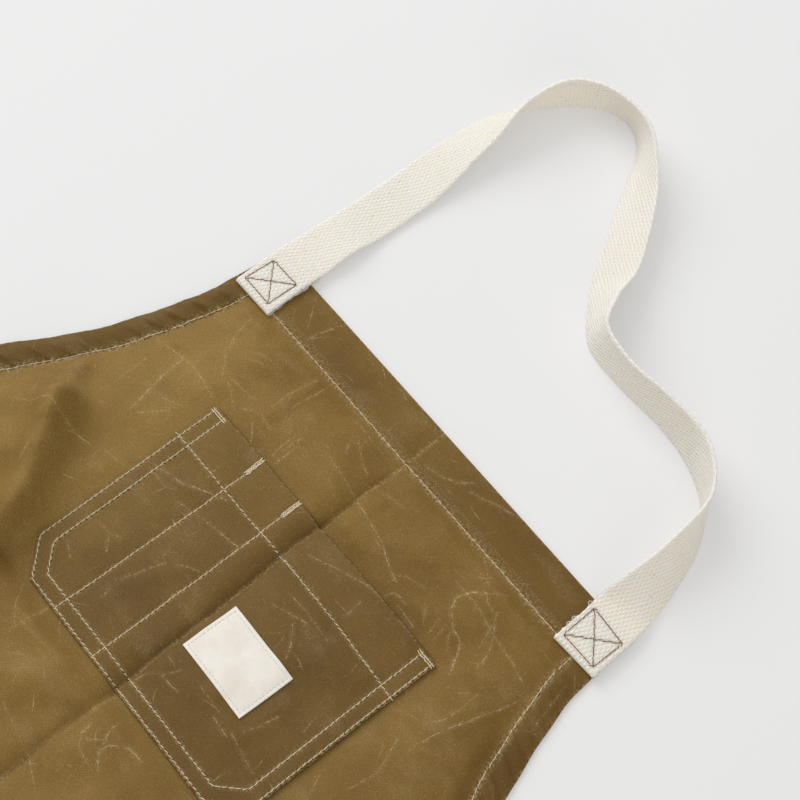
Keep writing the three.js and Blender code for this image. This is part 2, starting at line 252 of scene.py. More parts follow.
# Marks that bending leaves in the wax: strength, then the places that the mark runs through, as
# (across, down from the bib's top edge).
panel_marks = [
    (0.45, [(-96, 4), (-91, 10), (-87, 15)]),
    (0.75, [(-78.5, 9), (-80.5, 16)]),
    (0.5, [(-77.5, 14), (-80, 18)]),
    (0.45, [(-105.5, 37), (-103, 47), (-100, 52)]),
    (0.6, [(-54.5, 33), (-54.3, 48)]),
    (0.6, [(-60.5, 33), (-61.5, 48), (-60.5, 55)]),
    (0.45, [(-68, 67), (-64, 64.5), (-60, 63.5), (-52, 65)]),
    (0.5, [(-60, 69), (-55, 74)]),
    (0.55, [(-125, 76.5), (-110, 74), (-101, 72.5), (-92, 74), (-86, 75)]),
    (0.75, [(-108.5, 76), (-106, 92), (-103, 108)]),
    (0.35, [(-120, 90), (-119, 105)]),
    (0.6, [(-97, 93), (-92, 90.5)]),
    (0.5, [(-92, 94), (-89, 97)]),
    (0.6, [(-93, 98), (-98, 106)]),
    (0.45, [(-86, 44.5), (-84, 43), (-79, 42.5)]),
    (0.3, [(-86, 50), (-79, 46)]),
    (0.6, [(-82, 66), (-74, 70)]),
    (0.4, [(-83, 62.5), (-71, 61)]),
    (0.35, [(-97, 57), (-90, 64)]),
    (0.5, [(-20, 37), (-14, 40), (-9, 42)]),
    (0.4, [(-25, 38), (-22, 43)]),
    (0.5, [(-22, 52), (-13, 53), (-4, 54)]),
    (0.45, [(-33, 30), (-26, 29.5), (-17, 30.5), (-10, 29.5)]),
    (0.5, [(-42.2, 60), (-42.4, 69)]),
    (0.5, [(-39.6, 58), (-40.2, 65)]),
    (0.45, [(-37.5, 62), (-38, 71)]),
    (0.5, [(7, 18), (15, 16), (22, 12), (26, 7)]),
    (0.5, [(31, 10), (42, 5), (53, 1)]),
    (0.85, [(73, 38), (69, 42), (66.8, 47), (66.5, 50), (69, 55), (74, 59), (78, 60.5)]),
    (0.8, [(78, 60.5), (82, 61), (85, 64), (88, 69), (90.5, 73)]),
    (0.6, [(73.5, 38), (77, 40.5), (81, 41.5), (83.5, 40.5), (86, 44), (91, 49), (95, 55), (96.8, 62)]),
    (0.4, [(73.5, 38), (75.5, 34.5), (78, 32)]),
    (0.4, [(86, 45), (89.5, 55)]),
    (0.55, [(62, 44.5), (67, 44.8), (77, 45.5), (88, 48), (95, 48.5), (105, 49.5), (115, 52)]),
    (0.4, [(60, 27.5), (65, 30), (68.5, 33)]),
    (0.4, [(68.5, 32.5), (64, 35), (57, 40)]),
    (0.55, [(1, 55), (7, 56), (17, 58), (25, 59.5), (34, 63.5), (41, 65.5)]),
    (0.4, [(40.5, 64.5), (45, 60), (51, 58.5)]),
    (0.55, [(45, 73), (46, 70.5), (49, 69), (52, 69.5)]),
    (0.6, [(55, 72.5), (62, 73)]),
    (0.5, [(62, 65), (65, 68)]),
    (0.45, [(70, 65), (70.5, 67.5)]),
    (0.45, [(74, 64.5), (74.3, 68)]),
    (0.45, [(79, 65), (81, 67)]),
    (0.4, [(-1, 45), (6, 42.5), (14, 40.5)]),
    (0.7, [(119, 61), (118, 67), (115.5, 75), (113.5, 84), (110, 94), (108.5, 100), (107, 109)]),
    (0.45, [(107, 73), (107.5, 83), (106.5, 91), (104, 95)]),
    (0.4, [(88, 103), (96.5, 99.5)]),
    (0.4, [(128, 40), (129.5, 47)]),
    (0.35, [(131, 53), (133, 62)]),
    (0.45, [(-90, 130), (-81.5, 128)]),
    (0.35, [(-135, 130), (-128, 129.5)]),
    (0.55, [(-128, 140.5), (-122, 138), (-108, 137), (-103, 135)]),
    (0.4, [(-138.5, 147), (-132, 143)]),
    (0.4, [(-111, 157), (-108.5, 164)]),
    (0.4, [(-47, 208), (-31, 206.5)]),
    (0.4, [(-61.5, 199), (-56, 206), (-49, 211)]),
    (0.35, [(-46.5, 197), (-47.5, 215)]),
    (0.4, [(-40, 221), (-32, 215)]),
    (0.75, [(17.5, 204), (18, 207), (20, 210)]),
    (0.45, [(20, 210.5), (15, 217)]),
    (0.7, [(11, 213), (12, 217), (15, 220.5), (19, 222), (25, 222.5)]),
    (0.65, [(34, 204), (29, 204.5), (25, 208), (23, 211), (22.5, 214.5), (24.5, 217.5), (27.5, 219.5)]),
    (0.4, [(100, 112), (106, 128), (104, 140)]),
    (0.4, [(92, 150), (98, 162), (96, 176)]),
    (0.45, [(-150, 150), (-142, 168), (-128, 182)]),
    (0.4, [(-20, 236), (4, 240), (30, 252)]),
    (0.4, [(60, 214), (74, 226), (96, 230)]),
    (0.45, [(120, 190), (132, 206), (150, 214)]),
    (0.4, [(-110, 210), (-92, 224), (-70, 226)]),
]
mark_layers = 4
mark_reach = 3.4


def stretch_to(x, drop, first, last):
    run = np.subtract(last, first).astype(float)
    length = np.hypot(*run)
    along = ((x - first[0]) * run[0] + (drop - first[1]) * run[1]) / length
    across = ((x - first[0]) * run[1] - (drop - first[1]) * run[0]) / length
    beyond = np.maximum(0.0, np.maximum(-along, along - length))
    return across, np.hypot(across, beyond)


def far_apart(points, others):
    gaps = np.linalg.norm(np.array(points)[:, None, :] - np.array(others)[None, :, :], axis=-1)
    return gaps.min() > 2.4 * mark_reach


def filled_in(points):
    dense = [points[0]]
    for first, last in zip(points, points[1:]):
        steps = max(1, math.ceil(math.dist(first, last) / 1.5))
        for step in range(1, steps + 1):
            dense.append(tuple(np.add(first, np.subtract(last, first) * step / steps)))
    return dense


# Each mark goes to the first layer where it keeps clear of the marks already there, so that marks
# that cross don't share a layer. A layer holds the distance across its nearest mark and its strength.
def wax_marks(x, drop, marks):
    taken = [[] for _ in range(mark_layers)]
    chosen = [[] for _ in range(mark_layers)]
    for strength, points in marks:
        dense = filled_in(points)
        free_layers = [n for n in range(mark_layers) if not taken[n] or far_apart(dense, taken[n])]
        layer = free_layers[0] if free_layers else mark_layers - 1
        taken[layer] += dense
        chosen[layer].append((strength, points))
    fields = {}
    for layer, layer_marks in enumerate(chosen):
        nearest = np.full(x.shape, 1e6)
        field = np.zeros((*x.shape, 3))
        for strength, points in layer_marks:
            for first, last in zip(points, points[1:]):
                across, away = stretch_to(x, drop, first, last)
                closer = away < nearest
                nearest = np.where(closer, away, nearest)
                field[..., 0] = np.where(closer, across, field[..., 0])
                field[..., 1] = np.where(closer, strength, field[..., 1])
        field[..., 1] *= 1.0 - smooth(nearest, 0.5 * mark_reach, mark_reach)
        fields[f"wax_mark_{layer}"] = field
    return fields


def spaced(first, last, step):
    return np.linspace(first, last, max(2, round(abs(last - first) / step) + 1))


def joined(*stretches):
    return np.unique(np.round(np.concatenate(stretches), 3))


# A closed wall of cloth between two heights over a grid, whose front and back share the grid's rim.
def cloth_wall(name, x, drop, back, front, fields, material):
    rows, columns = x.shape
    inner = (slice(1, -1), slice(1, -1))
    upper = np.arange(rows * columns).reshape(rows, columns)
    under = upper.copy()
    under[inner] = rows * columns + np.arange((rows - 2) * (columns - 2)).reshape(rows - 2, columns - 2)
    y = bib_drop - drop
    front_points = np.stack([x, y, front], -1)
    back_points = np.stack([x, y, back], -1)
    points = np.concatenate([front_points.reshape(-1, 3), back_points[inner].reshape(-1, 3)]) * mm

    def quads(places):
        corners = [places[1:, :-1], places[1:, 1:], places[:-1, 1:], places[:-1, :-1]]
        return np.stack(corners, -1).reshape(-1, 4)

    faces = np.concatenate([quads(upper), quads(under)[:, ::-1]])
    mesh = bpy.data.meshes.new(name)
    mesh.from_pydata(points.tolist(), [], faces.tolist())
    for label, values in fields.items():
        kind, slot = ("FLOAT_VECTOR", "vector") if values.ndim == 3 else ("FLOAT", "value")
        front_values = values.reshape(rows * columns, -1)
        back_values = values[inner].reshape(-1, values[0, 0].size)
        spread = np.concatenate([front_values, back_values])
        mesh.attributes.new(label, kind, "POINT").data.foreach_set(slot, spread.astype(np.float32).ravel())
    mesh.shade_smooth()
    mesh.materials.append(material)
    piece = bpy.data.objects.new(name, mesh)
    bpy.context.scene.collection.objects.link(piece)
    return piece


def feed(tree, socket, value):
    if isinstance(value, bpy.types.NodeSocket):
        tree.links.new(value, socket)
    else:
        socket.default_value = value


def made_node(tree, kind, inputs, **settings):
    node = tree.nodes.new(kind)
    for setting, value in settings.items():
        setattr(node, setting, value)
    for place, value in inputs.items():
        feed(tree, node.inputs[place], value)
    return node


def sums(tree, operation, *values):
    return made_node(tree, "ShaderNodeMath", dict(enumerate(values)), operation=operation).outputs[0]


def eased(tree, value, low, high, low_result=0.0, high_result=1.0):
    inputs = {0: value, 1: low, 2: high, 3: low_result, 4: high_result}
    return made_node(tree, "ShaderNodeMapRange", inputs, interpolation_type="SMOOTHSTEP").outputs[0]


def cloudy(tree, place, size, detail=3.0, roughness=0.5):
    inputs = {"Vector": place, "Scale": 1.0 / size, "Detail": detail, "Roughness": roughness}
    return made_node(tree, "ShaderNodeTexNoise", inputs).outputs[0]


def stretched(tree, place, x, y, z=1.0):
    return made_node(tree, "ShaderNodeMapping", {"Vector": place, "Scale": (x, y, z)}).outputs[0]


def mixed(tree, share, first, second, way="MIX"):
    inputs = {0: share, 6: first, 7: second}
    return made_node(tree, "ShaderNodeMix", inputs, data_type="RGBA", blend_type=way).outputs[2]


def tone(red, green, blue):
    shares = np.array([red, green, blue]) / 255.0
    linear = np.where(shares <= 0.04045, shares / 12.92, ((shares + 0.055) / 1.055) ** 2.4)
    return (*linear.tolist(), 1.0)


def new_finish(name):
    material = bpy.data.materials.new(name)
    material.use_nodes = True
    return material, material.node_tree, material.node_tree.nodes["Principled BSDF"]


def place_in_mm(tree):
    place = made_node(tree, "ShaderNodeTexCoord", {}).outputs["Object"]
    inputs = {0: place, "Scale": 1000.0}
    return made_node(tree, "ShaderNodeVectorMath", inputs, operation="SCALE").outputs[0]


def axes_of(tree, vector):
    return made_node(tree, "ShaderNodeSeparateXYZ", {0: vector}).outputs


def field_of(tree, label, output="Fac"):
    return made_node(tree, "ShaderNodeAttribute", {}, attribute_name=label).outputs[output]


def bumped(tree, height, distance, normal=None, strength=1.0):
    inputs = {"Height": height, "Distance": distance, "Strength": strength}
    if normal:
        inputs["Normal"] = normal
    return made_node(tree, "ShaderNodeBump", inputs).outputs[0]


# Short scratches in the wax, one in each cell of an uneven grid, turned, bent and faded at random.
scratches = bpy.data.node_groups.new("wax_scratches", "ShaderNodeTree")
scratches.interface.new_socket("Place", in_out="INPUT", socket_type="NodeSocketVector")
scratches.interface.new_socket("Spacing", in_out="INPUT", socket_type="NodeSocketFloat")
scratches.interface.new_socket("Width", in_out="INPUT", socket_type="NodeSocketFloat")
scratches.interface.new_socket("Amount", in_out="OUTPUT", socket_type="NodeSocketFloat")
given = scratches.nodes.new("NodeGroupInput").outputs
per_cell = sums(scratches, "DIVIDE", 1.0, given["Spacing"])
cells = made_node(
    scratches,
    "ShaderNodeTexVoronoi",
    {"Vector": given["Place"], "Scale": per_cell},
    voronoi_dimensions="2D",
).outputs
chance = made_node(scratches, "ShaderNodeSeparateColor", {0: cells["Color"]}).outputs
from_middle = made_node(
    scratches, "ShaderNodeVectorMath", {0: given["Place"], 1: cells["Position"]}, operation="SUBTRACT"
).outputs[0]
turned = made_node(
    scratches,
    "ShaderNodeVectorRotate",
    {"Vector": from_middle, "Angle": sums(scratches, "MULTIPLY", chance[0], math.tau)},
    rotation_type="Z_AXIS",
).outputs[0]
turned_axes = axes_of(scratches, turned)
bend = sums(scratches, "MULTIPLY", sums(scratches, "SUBTRACT", chance[2], 0.5), 0.12)
bent = sums(scratches, "MULTIPLY_ADD", sums(scratches, "POWER", turned_axes[0], 2.0), bend, turned_axes[1])
line = eased(scratches, sums(scratches, "ABSOLUTE", bent), 0.0, given["Width"], 1.0, 0.0)
reach = sums(scratches, "MULTIPLY", given["Spacing"], 0.42)
ends = eased(
    scratches,
    sums(scratches, "ABSOLUTE", turned_axes[0]),
    sums(scratches, "MULTIPLY", reach, 0.2),
    reach,
    1.0,
    0.0,
)
some = eased(scratches, chance[1], 0.35, 1.0)
amount = sums(scratches, "MULTIPLY", sums(scratches, "MULTIPLY", line, ends), some)
scratches.links.new(amount, scratches.nodes.new("NodeGroupOutput").inputs[0])


def scratched(tree, place, spacing, width):
    inputs = {"Place": place, "Spacing": spacing, "Width": width}
    node = tree.nodes.new("ShaderNodeGroup")
    node.node_tree = scratches
    for label, value in inputs.items():
        feed(tree, node.inputs[label], value)
    return node.outputs[0]


# Waxed canvas: a plain weave under uneven wax, which pales where it is bent, scratched or rubbed, and
# looks deeper and greyer where two layers lie on each other. A painted light falloff makes it lighter on the
# left and deeper and warmer towards the right.
def waxed_canvas(name, deep, middle, pale, bloom):
    material, tree, shader = new_finish(name)
    place = place_in_mm(tree)
    broad = cloudy(tree, place, 62.0, 3.0, 0.55)
    patchy = cloudy(tree, place, 9.0, 5.0, 0.62)
    warp_slub = cloudy(tree, stretched(tree, place, 4.0, 1.2), 1.0, 0.0, 0.5)
    weft_slub = cloudy(tree, stretched(tree, place, 1.2, 3.8), 1.0, 0.0, 0.5)
    grain = sums(tree, "SUBTRACT", sums(tree, "ADD", warp_slub, weft_slub), 1.0)
    wax = sums(tree, "MULTIPLY_ADD", sums(tree, "SUBTRACT", patchy, 0.5), 0.22, broad)
    colour = mixed(tree, eased(tree, wax, 0.25, 0.55), deep, middle)
    colour = mixed(tree, eased(tree, wax, 0.5, 0.8), colour, pale)
    x, y, _ = axes_of(tree, place)
    # Painted light falloff from the lamp on the left: lighter on the left, deeper and warmer on the right.
    painted_light_falloff = mixed(tree, eased(tree, x, -170.0, 150.0), (1.13, 1.13, 1.13, 1.0), (0.86, 0.81, 0.74, 1.0))
    colour = mixed(tree, 1.0, colour, painted_light_falloff, "MULTIPLY")

    wobble = sums(tree, "MULTIPLY", sums(tree, "SUBTRACT", cloudy(tree, place, 5.0), 0.5), 1.6)
    warp = sums(tree, "SINE", sums(tree, "MULTIPLY", sums(tree, "ADD", x, wobble), math.pi / 0.62))
    weft = sums(tree, "SINE", sums(tree, "MULTIPLY", sums(tree, "ADD", y, wobble), math.pi / 0.7))
    weave = sums(tree, "MULTIPLY", warp, weft)
    warp_yarn = cloudy(tree, stretched(tree, place, 1.5, 0.05), 1.0, 2.0)
    weft_yarn = cloudy(tree, stretched(tree, place, 0.05, 1.4), 1.0, 2.0)
    yarns = sums(tree, "SUBTRACT", sums(tree, "ADD", warp_yarn, weft_yarn), 1.0)
    texture = sums(tree, "MULTIPLY_ADD", weave, 0.11, sums(tree, "MULTIPLY", yarns, 0.12))
    # Pale specks on the yarn crowns: partly worn fibre, partly painted highlight for the fine sparkle of the
    # waxed weave.
    specks = sums(tree, "POWER", sums(tree, "MAXIMUM", sums(tree, "ADD", grain, 0.3), 0.0), 2.0)
    texture = sums(tree, "MULTIPLY_ADD", specks, 0.8, sums(tree, "SUBTRACT", texture, 0.09))
    colour = mixed(tree, 1.0, colour, sums(tree, "ADD", texture, 1.0), "MULTIPLY")
    colour = mixed(tree, field_of(tree, "layers"), colour, (0.78, 0.77, 0.74, 1.0), "MULTIPLY")
    # The "soil" field: painted shade in a thin line along the pocket's mouth, and a darker left hem.
    colour = mixed(tree, field_of(tree, "soil"), colour, (0.72, 0.7, 0.66, 1.0), "MULTIPLY")

    broken = eased(tree, cloudy(tree, place, 1.6, 4.0, 0.75), 0.4, 0.6, 0.12, 1.0)
    ragged = sums(tree, "MULTIPLY", sums(tree, "SUBTRACT", cloudy(tree, place, 0.9, 2.0), 0.5), 0.7)
    marks = sums(tree, "MULTIPLY", scratched(tree, place, 15.0, 0.36), 0.52)
    finer = scratched(tree, place, 6.5, 0.2)
    marks = sums(tree, "MAXIMUM", marks, sums(tree, "MULTIPLY", finer, 0.38))
    for layer in range(mark_layers):
        across, strength, _ = axes_of(tree, field_of(tree, f"wax_mark_{layer}", "Vector"))
        away = sums(tree, "ABSOLUTE", sums(tree, "ADD", across, ragged))
        line = eased(tree, away, 0.02, 0.46, 1.05, 0.0)
        halo = eased(tree, away, 0.2, 2.4, 0.2, 0.0)
        mark = sums(tree, "MULTIPLY", sums(tree, "MAXIMUM", line, halo), strength)
        marks = sums(tree, "MAXIMUM", marks, mark)
    fading = eased(tree, cloudy(tree, place, 7.0, 2.0), 0.34, 0.6, 0.45, 1.1)
    marks = sums(tree, "MULTIPLY", sums(tree, "MULTIPLY", marks, broken), fading)
    rubbed = eased(tree, cloudy(tree, place, 1.3, 3.0), 0.42, 0.62)
    rub = sums(tree, "MULTIPLY", field_of(tree, "rub"), rubbed)
    haze = eased(tree, cloudy(tree, stretched(tree, place, 0.8, 1.3), 17.0, 2.0, 0.55), 0.5, 0.8, 0.0, 0.09)
    worn = sums(tree, "MAXIMUM", sums(tree, "MAXIMUM", marks, haze), rub)
    worn = sums(tree, "MULTIPLY", worn, sums(tree, "MULTIPLY_ADD", grain, 2.4, 1.0))
    colour = mixed(tree, sums(tree, "MULTIPLY", worn, 0.84), colour, bloom)
    feed(tree, shader.inputs["Base Color"], colour)

    dull = sums(tree, "MULTIPLY_ADD", worn, 0.15, eased(tree, patchy, 0.3, 0.7, 0.5, 0.66))
    feed(tree, shader.inputs["Roughness"], dull)
    shader.inputs["Specular IOR Level"].default_value = 0.14
    crumple = bumped(tree, cloudy(tree, place, 14.0, 1.5, 0.4), 1.5 * mm, strength=0.5)
    threads = sums(tree, "ADD", sums(tree, "MULTIPLY", weave, 0.4), sums(tree, "MULTIPLY", yarns, 0.5))
    threads = bumped(tree, sums(tree, "MULTIPLY_ADD", grain, 1.0, threads), 0.1 * mm, crumple, 0.8)
    feed(tree, shader.inputs["Normal"], bumped(tree, marks, 0.12 * mm, threads, 0.8))
    return material


panel_canvas = waxed_canvas(
    "waxed_canvas", tone(119, 92, 46), tone(132, 105, 54), tone(146, 118, 65), tone(208, 190, 146)
)

edge_steps = np.array(
    [0.0, 0.22, 0.55, 1.0, 1.6, 2.6, 4.2, 6.0, 7.8, 9.8, 11.4, 12.4, 13.0, 13.6, 14.5, 15.8]
)
panel_drops = joined(
    edge_steps[:7],
    spaced(6.0, 19.0, 1.9),
    [19.7, 20.3, 20.9],
    spaced(22.0, 23.4, 1.4),
    [24.0, top_row_drop, 25.2, 26.2],
    spaced(28.0, 232.0, 1.25),
    pocket_top - np.array([2.0, 1.4, 0.9, 0.4]),
    spaced(236.0, bib_drop, 5.0),
    spaced(310.0, bottom_row_drop - 3.0, 11.0),
    bottom_row_drop + np.array([-0.7, 0.0, 0.7]),
    [panel_length - 20.0, panel_length - 10.0],
    panel_length - edge_steps[:6],
)
inner_shares = joined(spaced(-1.0, -0.13, 0.0145), spaced(-0.13, 0.13, 0.0087), spaced(0.13, 1.0, 0.0145))
inner_shares = inner_shares[1:-1]
edge_ones = np.ones(edge_steps.size)
column_shares = np.concatenate([-edge_ones, inner_shares, edge_ones])
column_insets = np.concatenate([edge_steps, np.full(inner_shares.size, edge_steps[-1]), edge_steps[::-1]])
panel_drop, _ = np.meshgrid(panel_drops, column_shares, indexing="ij")
panel_x = column_shares * (panel_half(panel_drop) - column_insets * side_lean(column_shares, panel_drop))
panel_back, panel_front = panel_sides(panel_x, panel_drop)
panel_inset = side_inset(panel_x, panel_drop)
panel_edge = np.minimum(np.minimum(panel_inset, panel_drop), panel_length - panel_drop)
panel_rub = 0.5 * np.exp(-(((panel_inset - side_row_inset) / 1.5) ** 2))
panel_rub = np.maximum(panel_rub, 0.45 * np.exp(-(((panel_drop - top_row_drop) / 1.4) ** 2)))
panel_rub = np.maximum(panel_rub, 0.14 * np.exp(-(((panel_drop - top_row_drop + 2.2) / 2.0) ** 2)))
panel_rub = np.maximum(panel_rub, 0.45 * np.exp(-((panel_edge / 0.8) ** 2)))
crease_side = panel_x - np.interp(panel_drop, crease_drops, crease_places)
panel_rub = np.maximum(panel_rub, 0.35 * np.exp(-(((crease_side - 0.5) / 0.9) ** 2)))

# A thin line of painted shade runs along the pocket's mouth on the bib, and the left hem of the bib is made
# darker, fading out towards the waist.
mouth_painted_shade = np.exp(-(((panel_drop - pocket_top + 0.8) / 0.5) ** 2))
mouth_painted_shade *= smooth(pocket_half - np.abs(panel_x - pocket_centre), 0.0, 5.0)
left_hem_darkening = turned_under(panel_inset, side_hem) * (panel_x < 0.0)
left_hem_darkening *= 1.0 - smooth(panel_drop, 190.0, 300.0)
painted_shade_and_darkening = np.maximum(mouth_painted_shade, left_hem_darkening)
panel_layers = panel_thick(panel_x, panel_drop) / canvas_thick - 1.0
# The "soil" field carries the painted shade along the pocket's mouth and the darker left hem.
panel_fields = {"layers": panel_layers, "rub": panel_rub, "soil": painted_shade_and_darkening}
panel_fields |= wax_marks(panel_x, panel_drop, panel_marks)
panel = cloth_wall("canvas_panel", panel_x, panel_drop, panel_back, panel_front, panel_fields, panel_canvas)
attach(panel, "root")
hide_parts("apron_body")
panel_area = 2.0 * (bib_top_half + (waist_half - bib_top_half) / 3) * bib_drop
panel_area += 2.0 * waist_half * (panel_length - bib_drop)

# Hem stitches
# One row of cream cotton thread holds each turned hem down, in a slight groove that it pulls in the
# cloth. Dark grains between its stitches are painted shade for the needle holes and the thread's shadow.
# A finer row shows above it on the bib.
hem_pitch = 3.4
hem_thread = 0.44
thread_sunk = 0.12
guide_step = 4.0


def fibre_thread(name, light, shade, roughness):
    material, tree, shader = new_finish(name)
    around, along, _ = axes_of(tree, field_of(tree, "twist", "Vector"))
    turns = sums(tree, "MULTIPLY", sums(tree, "MULTIPLY_ADD", along, 2.4, around), math.tau * 2)
    ply = sums(tree, "MULTIPLY_ADD", sums(tree, "SINE", turns), 0.5, 0.5)
    fuzz = cloudy(tree, place_in_mm(tree), 0.5, 3.0, 0.7)
    share = sums(tree, "ADD", sums(tree, "MULTIPLY", ply, 0.55), sums(tree, "MULTIPLY", fuzz, 0.6))
    feed(tree, shader.inputs["Base Color"], mixed(tree, eased(tree, share, 0.15, 0.75), shade, light))
    shader.inputs["Roughness"].default_value = roughness
    shader.inputs["Sheen Weight"].default_value = 0.15
    feed(tree, shader.inputs["Normal"], bumped(tree, ply, 0.08 * mm))
    return material


cream_thread = fibre_thread("cream_thread", tone(238, 223, 190), tone(190, 166, 124), 0.8)
slant = 0.15

# One stitch is a slim rounded grain. It repeats along each guide line at an even pitch, in line with
# it or turned across it, with small seeded differences in angle and length.
stitching = bpy.data.node_groups.new("stitching", "GeometryNodeTree")
stitching.interface.new_socket("Geometry", in_out="INPUT", socket_type="NodeSocketGeometry")
stitch_inputs = {
    label: stitching.interface.new_socket(label, in_out="INPUT", socket_type=kind).identifier
    for label, kind in {
        "Pitch": "NodeSocketFloat",
        "Length": "NodeSocketFloat",
        "Thickness": "NodeSocketFloat",
        "Turn": "NodeSocketFloat",
        "Sway": "NodeSocketFloat",
        "Seed": "NodeSocketInt",
        "Thread": "NodeSocketMaterial",
    }.items()
}
stitching.interface.new_socket("Geometry", in_out="OUTPUT", socket_type="NodeSocketGeometry")
given = stitching.nodes.new("NodeGroupInput").outputs
guides = made_node(stitching, "GeometryNodeMeshToCurve", {"Mesh": given["Geometry"]}).outputs[0]
spots = made_node(
    stitching, "GeometryNodeResampleCurve", {"Curve": guides, "Length": given["Pitch"]}, mode="LENGTH"
).outputs[0]
grain = made_node(stitching, "GeometryNodeMeshUVSphere", {"Segments": 8, "Rings": 5, "Radius": 0.5}).outputs
twisted = made_node(
    stitching,
    "GeometryNodeStoreNamedAttribute",
    {"Geometry": grain["Mesh"], "Name": "twist", "Value": grain["UV Map"]},
    data_type="FLOAT_VECTOR",
    domain="CORNER",
).outputs[0]
laid_down = (0.0, math.pi / 2, 0.0)
laid = made_node(stitching, "GeometryNodeTransform", {"Geometry": twisted, "Rotation": laid_down}).outputs[0]
grain_size = {0: given["Length"], 1: given["Thickness"], 2: given["Thickness"]}
slim = made_node(stitching, "ShaderNodeCombineXYZ", grain_size).outputs[0]
stitch = made_node(stitching, "GeometryNodeTransform", {"Geometry": laid, "Scale": slim}).outputs[0]
stitch = made_node(stitching, "GeometryNodeSetShadeSmooth", {"Geometry": stitch}).outputs[0]
heading = made_node(
    stitching,
    "FunctionNodeAlignRotationToVector",
    {"Vector": stitching.nodes.new("GeometryNodeInputTangent").outputs[0]},
    axis="X",
).outputs[0]
sway_back = sums(stitching, "MULTIPLY", given["Sway"], -1.0)
sway = made_node(
    stitching,
    "FunctionNodeRandomValue",
    {2: sway_back, 3: given["Sway"], "Seed": given["Seed"]},
    data_type="FLOAT",
).outputs[1]
swing = sums(stitching, "ADD", sway, given["Turn"])
swung = made_node(stitching, "ShaderNodeCombineXYZ", {2: swing}).outputs[0]
aside = made_node(stitching, "FunctionNodeEulerToRotation", {0: swung}).outputs[0]
facing = made_node(
    stitching,
    "FunctionNodeRotateRotation",
    {"Rotation": heading, "Rotate By": aside},
    rotation_space="LOCAL",
).outputs[0]
next_seed = sums(stitching, "ADD", given["Seed"], 1.0)
stretch = made_node(
    stitching, "FunctionNodeRandomValue", {2: 0.88, 3: 1.06, "Seed": next_seed}, data_type="FLOAT"
).outputs[1]
sized = made_node(stitching, "ShaderNodeCombineXYZ", {0: stretch, 1: 1.0, 2: 1.0}).outputs[0]
placed = made_node(
    stitching,
    "GeometryNodeInstanceOnPoints",
    {"Points": spots, "Instance": stitch, "Rotation": facing, "Scale": sized},
).outputs[0]
realized = made_node(stitching, "GeometryNodeRealizeInstances", {"Geometry": placed}).outputs[0]
threaded = made_node(
    stitching, "GeometryNodeSetMaterial", {"Geometry": realized, "Material": given["Thread"]}
).outputs[0]
stitching.links.new(threaded, stitching.nodes.new("NodeGroupOutput").inputs[0])


# Sews rows of stitches along guide lines given as arrays of points in millimetres.
def sewn_rows(name, rows, pitch, length, thickness, thread, turn=0.0, seed=1, sway=0.06):
    points = []
    edges = []
    for row in rows:
        start = len(points)
        points += (np.asarray(row) * mm).tolist()
        edges += [(start + step, start + step + 1) for step in range(len(row) - 1)]
    guide_mesh = bpy.data.meshes.new(name + "_guide")
    guide_mesh.from_pydata(points, edges, [])
    guide = bpy.data.objects.new(name + "_guide", guide_mesh)
    bpy.context.scene.collection.objects.link(guide)
    modifier = guide.modifiers.new("stitching", "NODES")
    modifier.node_group = stitching
    values = {
        "Pitch": pitch * mm,
        "Length": length * mm,
        "Thickness": thickness * mm,
        "Turn": turn,
        "Sway": sway,
        "Seed": seed,
    }
    for label, value in values.items():
        modifier[stitch_inputs[label]] = value
    modifier[stitch_inputs["Thread"]] = thread
    evaluated = guide.evaluated_get(bpy.context.evaluated_depsgraph_get())
    mesh = bpy.data.meshes.new_from_object(evaluated)
    mesh.name = name
    bpy.data.objects.remove(guide)
    piece = bpy.data.objects.new(name, mesh)
    bpy.context.scene.collection.objects.link(piece)
    return piece


def on_panel(x, drop, above):
    x, drop = np.broadcast_arrays(np.asarray(x, float), np.asarray(drop, float))
    return np.stack([x, bib_drop - drop, panel_sides(x, drop)[1] + above], -1)


side_drops = spaced(27.0, bottom_row_drop, guide_step)
left_row_x = side_row_inset * side_lean(-1.0, side_drops) - panel_half(side_drops)
right_row_x = panel_half(side_drops) - side_row_inset * side_lean(1.0, side_drops)
hem_rows = [
    on_panel(spaced(-117.0, 117.0, guide_step), top_row_drop, thread_sunk),
    on_panel(left_row_x, side_drops, thread_sunk),
    on_panel(right_row_x, side_drops, thread_sunk),
    on_panel(spaced(-326.0, 326.0, guide_step), bottom_row_drop, thread_sunk),
]
hem_stitches = sewn_rows("hem_stitches", hem_rows, hem_pitch, 3.9, hem_thread, cream_thread, slant / 2, 3)
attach(hem_stitches, "root")


# The same guide line without half a stitch at each end, and a little aside, so that what is set on it
# falls between stitches.
def between_stitches(row, pitch):
    lengths = np.concatenate([[0.0], np.cumsum(np.linalg.norm(np.diff(row, axis=0), axis=1))])
    spacing = lengths[-1] / int(lengths[-1] / pitch)
    places = np.linspace(spacing / 2, lengths[-1] - spacing / 2, len(row))
    moved = np.stack([np.interp(places, lengths, axis) for axis in row.T], -1)
    return moved + (0.5, 0.0, 0.1 - thread_sunk)


# Small dark grains between the stitches, a little to the +x side: painted shade for the needle holes and the
# shadow of the thread.
needle_shade = fibre_thread("needle_shade", tone(66, 47, 24), tone(44, 31, 15), 0.95)
hem_shade_rows = [between_stitches(row, hem_pitch) for row in hem_rows]
hem_painted_shade = sewn_rows("hem_needle_hole_shade", hem_shade_rows, hem_pitch, 0.6, 0.38, needle_shade, seed=4)
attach(hem_painted_shade, "root")

fine_row = on_panel(spaced(-108.0, 108.0, guide_step), top_row_drop - 4.3, 0.04)
faded_thread = fibre_thread("faded_thread", tone(196, 174, 132), tone(150, 126, 86), 0.85)
fine_stitches = sewn_rows("fine_stitches", [fine_row], 1.7, 0.75, 0.3, faded_thread, seed=5)
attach(fine_stitches, "root")

